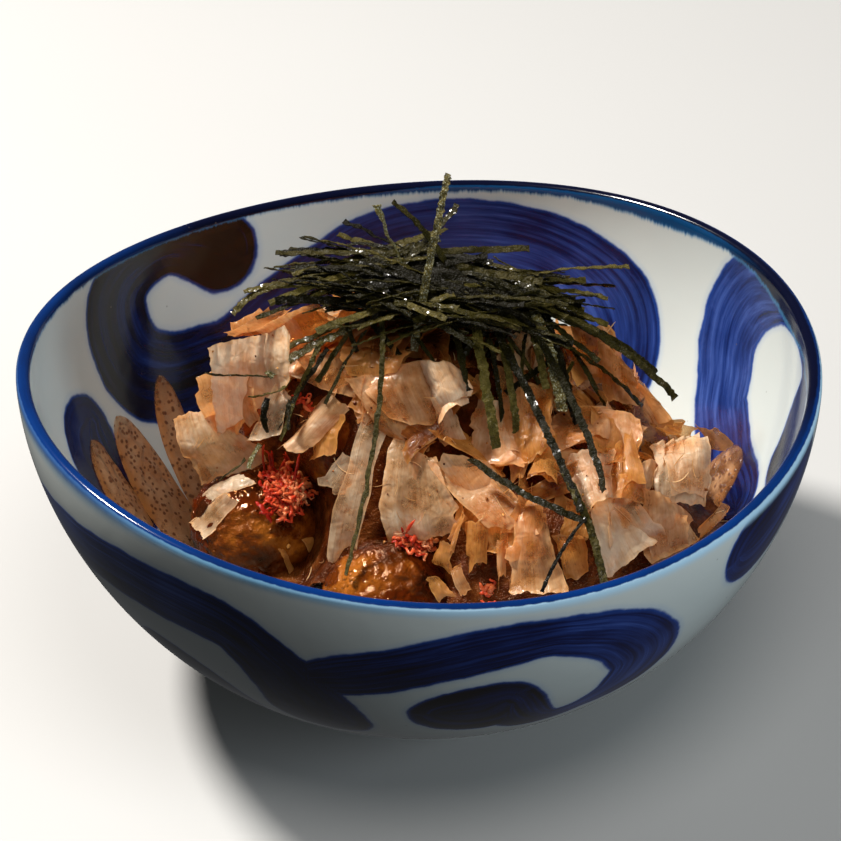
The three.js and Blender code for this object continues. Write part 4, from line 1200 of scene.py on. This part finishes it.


def toasted_nori():
    recipe = Recipe("toasted_nori")
    place = recipe.place()
    tint, _, _ = recipe.attribute("mark")
    grain = recipe.noise(place, 1.1, 5, 0.65)
    colour = recipe.ramp(
        tint * 0.75 + recipe.noise(place, 5, 3) * 0.3 + (grain - 0.5) * 0.5,
        (0.2, (0.0045, 0.0034, 0.0005)),
        (0.5, (0.0120, 0.0100, 0.0014)),
        (0.75, (0.038, 0.030, 0.005)),
        (1.0, (0.090, 0.070, 0.014)),
    )
    pale = tint.rise(1.2, 1.8)
    # Pale flecks in the strips' colour are painted glitter, a painted highlight that is strongest on a few shreds.
    flaked = recipe.noise(place, 0.42, 4, 0.7).rise(0.60 - pale * 0.09, 0.70 - pale * 0.07) * (0.09 + pale * 0.7)
    glints = recipe.noise(place, 0.6, 2).rise(0.50 - pale * 0.06, 0.58 - pale * 0.06)
    sheet = recipe.principled(
        base_color=recipe.mix(flaked * 0.8, colour, (0.48, 0.50, 0.38)),
        roughness=0.52 - glints * 0.38,
        normal=recipe.bump(grain + recipe.noise(place, 0.8, 3) * 1.2, 0.55),
        specular_ior_level=0.15,
        coat_weight=glints * 0.65,
        coat_roughness=0.2,
    )
    return recipe.done(sheet)


nori = toasted_nori()


def shred(pile, stations, width, roll, random, gap=0.75, pale=False):
    """A crinkled strip through three points."""
    a, b, c = (np.asarray(station, float) for station in stations)
    control = 2 * b - (a + c) / 2
    rows = int(np.clip(np.linalg.norm(c - a) / gap, 10, 72))
    t = np.linspace(0, 1, rows)[:, None]
    path = a * (1 - t) ** 2 + 2 * control * t * (1 - t) + c * t**2
    tangent = unit(2 * (1 - t) * (control - a) + 2 * t * (c - control))
    side = np.cross((0, 0, 1.0), tangent)
    steep = np.linalg.norm(side, axis=1) < 0.2
    side[steep] = (1, 0.3, 0)
    side = unit(side)
    angles = np.radians(roll + np.linspace(0, random.uniform(-50, 50), rows))[:, None]
    side = side * np.cos(angles) + np.cross(tangent, side) * np.sin(angles)
    normal = unit(np.cross(tangent, side))
    seed = int(random.integers(1, 10000))
    distance = t * np.linalg.norm(c - a)
    path = path + normal * (0.22 * waves(distance, 11, seed) + 0.10 * waves(distance, 3, seed + 1))[:, None]
    path = path + side * (0.14 * waves(distance, 14, seed + 2))[:, None]
    across = np.array([-1, -0.35, 0.35, 1])[None]
    edge = 1 + 0.14 * waves(distance, 2.6, seed + 3)[:, None] + random.uniform(-0.16, 0.16, (rows, 4))
    offset = across * edge * width / 2
    cockle = 0.16 * np.sin(across * 2.2 + distance * 1.3 + seed)
    points = path[:, None] + side[:, None] * offset[..., None] + normal[:, None] * cockle[..., None]
    # The glittering shreds take the palest tint: painted glitter.
    pile.put(*thin_sheet(points, NORI_HALF), (2.0 if pale else random.uniform(0, 1), 0, 0))


def nest_shred(draw, spread=0.85, longest=22.0, shortest=15.0):
    """The end and middle points of a shred of the nest, drawn in the same order as in the part's own source."""
    along = draw(-spread, spread)
    depth = draw(-0.9, 0.9) * math.sqrt(1 - along**2)
    height = draw(-0.9, 0.9) * math.sqrt(max(1 - along**2 - depth**2, 0))
    middle = turn_about(NEST_RADII * (along, depth, height), NEST_AXIS, NEST_TILT) + NEST_MIDDLE
    heading = math.radians(draw(-35, 35))
    slope = math.radians(draw(-16, 12) - 14 * max(along, 0))
    half = draw(shortest, longest)
    reach = half * np.array(
        [math.cos(heading) * math.cos(slope), math.sin(heading) * math.cos(slope), math.sin(slope)]
    )
    sag = np.array([0, 0, draw(-0.5, 2.5)])
    path = np.array([middle - reach, middle + sag, middle + reach])
    sunk = np.max(heap_height(path[:, 0], path[:, 1]) + NEST_CLEARANCE - path[:, 2])
    path[:, 2] += max(sunk, 0)
    return path, draw(-50, 50)


def make_nori():
    pile = Pile()
    random = np.random.default_rng(29)
    uneven = random.uniform
    for number, (*stations, width, roll) in enumerate(LOOSE_SHREDS + FALLEN_SHREDS):
        lifted = [np.add(station, NEAR_LIFT) if station[1] < 5 else station for station in stations]
        shred(pile, lifted, width, roll, random, pale=number in PALE_SHREDS)
    draw = seeded(7)
    for _ in range(NEST_SHREDS):
        path, roll = nest_shred(draw)
        shred(pile, path, NORI_WIDTH, roll, random)
    for _ in range(EXTRA_SHREDS):
        path, roll = nest_shred(uneven, 0.98, 21.0, 9.0)
        shred(pile, path, uneven(0.8, 2.1), roll, random, 0.8)
    # Shreds that fan out over the near side of the heap.
    for _ in range(FANNED_SHREDS):
        x = uneven(-26, 44)
        if FOLDED_FLAKE[0] < x < FOLDED_FLAKE[1]:
            continue
        drop = uneven(4, 13)
        start = np.array([x, uneven(-2, 8), 0])
        end = start + (uneven(-14, 18), -drop, 0)
        path = np.array([start, (start + end) / 2, end])
        path[:, 2] = heap_height(path[:, 0], path[:, 1]) + (6.0, uneven(3, 6), uneven(1.2, 3))
        shred(pile, path, uneven(0.8, 2.0), uneven(-30, 30), random, 0.9)
    return pile.make("nori_strips", nori, 8)


def make_nest_core():
    """The tangle in the middle of the nest, where the shreds lie too close to be told apart."""
    directions, faces = round_mesh(5)
    points = directions * NEST_RADII * NEST_CORE
    points += directions * (0.9 * waves(points * (0.4, 1, 1.6), 4, 61) + 0.4 * waves(points, 2, 62))[:, None]
    points = turn_about(points, NEST_AXIS, NEST_TILT) + NEST_MIDDLE
    make_piece("nori_tangle", points, [faces], nori, {"mark": np.zeros_like(points)})


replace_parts(make_nori(), "nori_shreds")
make_nest_core()


# ---- Crumbs, torn fibres and sauce drops ----
# Golden crumbs broken off the crust, hairs torn from the edges of the flakes and small drops of sauce. They lie
# where they fell, stuck to the sauce and to the flakes.

CRUMBS = 130
FIBRES = 110
DROPS = 12
FALL = (0.0, 0.5, -0.87)  # the way they fall
FALL_FROM, FALL_TO, FALL_HEIGHT, FALL_LENGTH = (-62, -62), (82, 30), 105.0, 60
LIE_ON = ["bonito_shavings", "small_bonito_shavings", "heap_core"] + [f"takoyaki_{i + 1}_sauced" for i in range(7)]


def food_surface(names):
    """All the named pieces as one surface that a ray can be dropped on."""
    points, faces = [], []
    for name in names:
        mesh = bpy.data.objects[name].data
        first = len(points)
        points.extend(vertex.co.copy() for vertex in mesh.vertices)
        faces.extend([first + corner for corner in polygon.vertices] for polygon in mesh.polygons)
    return BVHTree.FromPolygons(points, faces)


def golden_crumb():
    recipe = Recipe("golden_crumb")
    tint, _, _ = recipe.attribute("mark")
    colour = recipe.ramp(tint, (0.0, (0.62, 0.30, 0.07)), (0.5, (0.36, 0.12, 0.02)), (1.0, (0.10, 0.02, 0.004)))
    normal = recipe.bump(recipe.noise(recipe.place(), 0.5, 2), 0.1)
    return recipe.done(recipe.principled(base_color=colour, roughness=0.4, normal=normal, specular_ior_level=0.3))


def torn_fibre():
    recipe = Recipe("torn_fibre")
    tint, _, _ = recipe.attribute("mark")
    colour = recipe.ramp(tint, (0.0, (0.85, 0.62, 0.34)), (1.0, (0.55, 0.27, 0.07)))
    sheet = recipe.principled(base_color=colour, roughness=0.3, specular_ior_level=0.4)
    return recipe.done(recipe.blend(0.4, sheet, recipe.translucent(color=colour)))


def dark_sauce():
    recipe = Recipe("dark_sauce")
    colour = recipe.mix(recipe.noise(recipe.place(), 2, 2), (0.09, 0.012, 0.001), (0.020, 0.003, 0.0005))
    return recipe.done(recipe.principled(base_color=colour, roughness=0.06, specular_ior_level=0.4))


def make_crumbs_fibres_and_drops():
    random = np.random.default_rng(41)
    uneven = random.uniform
    surface = food_surface(LIE_ON)
    fall = unit(FALL)

    def fallen():
        """A random place where something falling slantwise to the back comes to lie, and the way it faces there."""
        while True:
            start = (*uneven(FALL_FROM, FALL_TO), FALL_HEIGHT) - fall * FALL_LENGTH
            point, normal, _, _ = surface.ray_cast(Vector(start * MM), Vector(fall))
            if point is not None and normal.z > -0.2:
                return np.array(point) / MM, np.array(normal) * (1 if np.dot(normal, fall) < 0 else -1)

    rough, faces = round_mesh(1)
    crumbs = Pile()
    for _ in range(CRUMBS):
        point, facing = fallen()
        size = uneven(0.15, 0.35) if uneven() < 0.85 else uneven(0.4, 0.7)
        shape = rough * uneven(0.6, 1.2, (len(rough), 1)) * uneven(0.6, 1.3, 3) * size
        crumbs.put(shape + point + facing * size * 0.4, faces, (uneven(0, 1), 0, 0))
    crumbs.make("crumbs", golden_crumb(), 20)

    fibres = Pile()
    share = np.linspace(-1, 1, 9)[:, None]
    for _ in range(FIBRES):
        point, facing = fallen()
        if np.linalg.norm(point - BALLS[:2], axis=1).min() < BALL_RADIUS + 2:
            continue
        heading = unit(np.cross(facing, random.normal(size=3)))
        bend = unit(np.cross(facing, heading)) * uneven(-1.5, 1.5) + facing * uneven(-0.2, 0.8)
        half = uneven(1.2, 4.0)
        path = point + facing * 0.4 + heading * half * share + bend * (share**2 - 0.3) * half / 4
        fibres.put(*round_stick(path, uneven(0.12, 0.3), 0.12), (uneven(0, 1), 0, 0))
    fibres.make("torn_fibres", torn_fibre(), 100)

    smooth, faces = round_mesh(3)
    drops = Pile()
    for _ in range(DROPS):
        point, facing = fallen()
        shape = smooth * uneven(0.25, 0.6)
        drops.put(shape - facing * (shape @ facing)[:, None] * 0.45 + point, faces)
    drops.make("sauce_drops", dark_sauce())


make_crumbs_fibres_and_drops()


# ---- Table, light and camera ----
# A plain pale table top, lit by a window light from the back left, a weak soft light from overhead and a wide
# cool fill from the right.

TABLE_HALF = 3.0  # metres


def pale_table():
    recipe = Recipe("pale_table")
    place = recipe.place()
    colour = recipe.mix(recipe.noise(place, 400, 2), (0.42, 0.42, 0.415), (0.45, 0.45, 0.445))
    return recipe.done(recipe.principled(base_color=colour, roughness=0.6))


mesh = bpy.data.meshes.new("table")
corners = [(x * TABLE_HALF, y * TABLE_HALF, 0) for x, y in ((-1, -1), (1, -1), (1, 1), (-1, 1))]
mesh.from_pydata(corners, [], [(0, 1, 2, 3)])
mesh.materials.append(pale_table())
table = bpy.data.objects.new("table", mesh)
bpy.context.scene.collection.objects.link(table)
# The table is kept out of the glaze's mirror images and doesn't brighten the bowl's underside.
table.visible_diffuse = False
table.visible_glossy = False

# Each light's name, direction, distance, size, power and colour, and whether the glaze and the sauce mirror it. The
# two soft lights would lay a grey haze over the dark sauce.
LIGHTS = [
    ("window", (-0.545, 0.26, 0.80), 1.5, 0.26, 48, (1.0, 0.955, 0.90), True),
    ("overhead", (0.12, -0.38, 1.0), 1.6, 0.8, 11, (1.0, 0.98, 0.95), False),
    ("fill", (0.94, -0.34, 0.25), 2.2, 1.2, 31, (0.84, 0.94, 1.0), False),
]
LIT_POINT = Vector((0, 0, 0.06))

for name, direction, distance, size, power, colour, mirrored in LIGHTS:
    data = bpy.data.lights.new(name, "AREA")
    data.shape = "DISK"
    data.size = size
    data.energy = power
    data.color = colour
    light = bpy.data.objects.new(name, data)
    light.location = LIT_POINT + Vector(direction).normalized() * distance
    light.rotation_euler = Vector(direction).to_track_quat("Z", "Y").to_euler()
    light.visible_glossy = mirrored
    bpy.context.scene.collection.objects.link(light)

world = bpy.data.worlds.new("studio")
world.use_nodes = True
sky = world.node_tree.nodes["Background"].inputs
sky["Color"].default_value = (0.90, 0.92, 0.95, 1)
sky["Strength"].default_value = 0.07
bpy.context.scene.world = world
bpy.context.scene.view_settings.view_transform = "Standard"

CAMERA_TARGET = Vector((0.31, 0, 70.6)) * MM
CAMERA_ELEVATION = math.radians(33.07)
CAMERA_DISTANCE = 0.735
CAMERA_LENS = 118.1

camera = bpy.data.objects.new("camera", bpy.data.cameras.new("camera"))
camera.data.lens = CAMERA_LENS
camera.data.sensor_width = 36
camera.data.clip_start = 0.01
toward = Vector((0, -math.cos(CAMERA_ELEVATION), math.sin(CAMERA_ELEVATION)))
camera.location = CAMERA_TARGET + toward * CAMERA_DISTANCE
camera.rotation_euler = toward.to_track_quat("Z", "Y").to_euler()
bpy.context.scene.collection.objects.link(camera)
bpy.context.scene.camera = camera
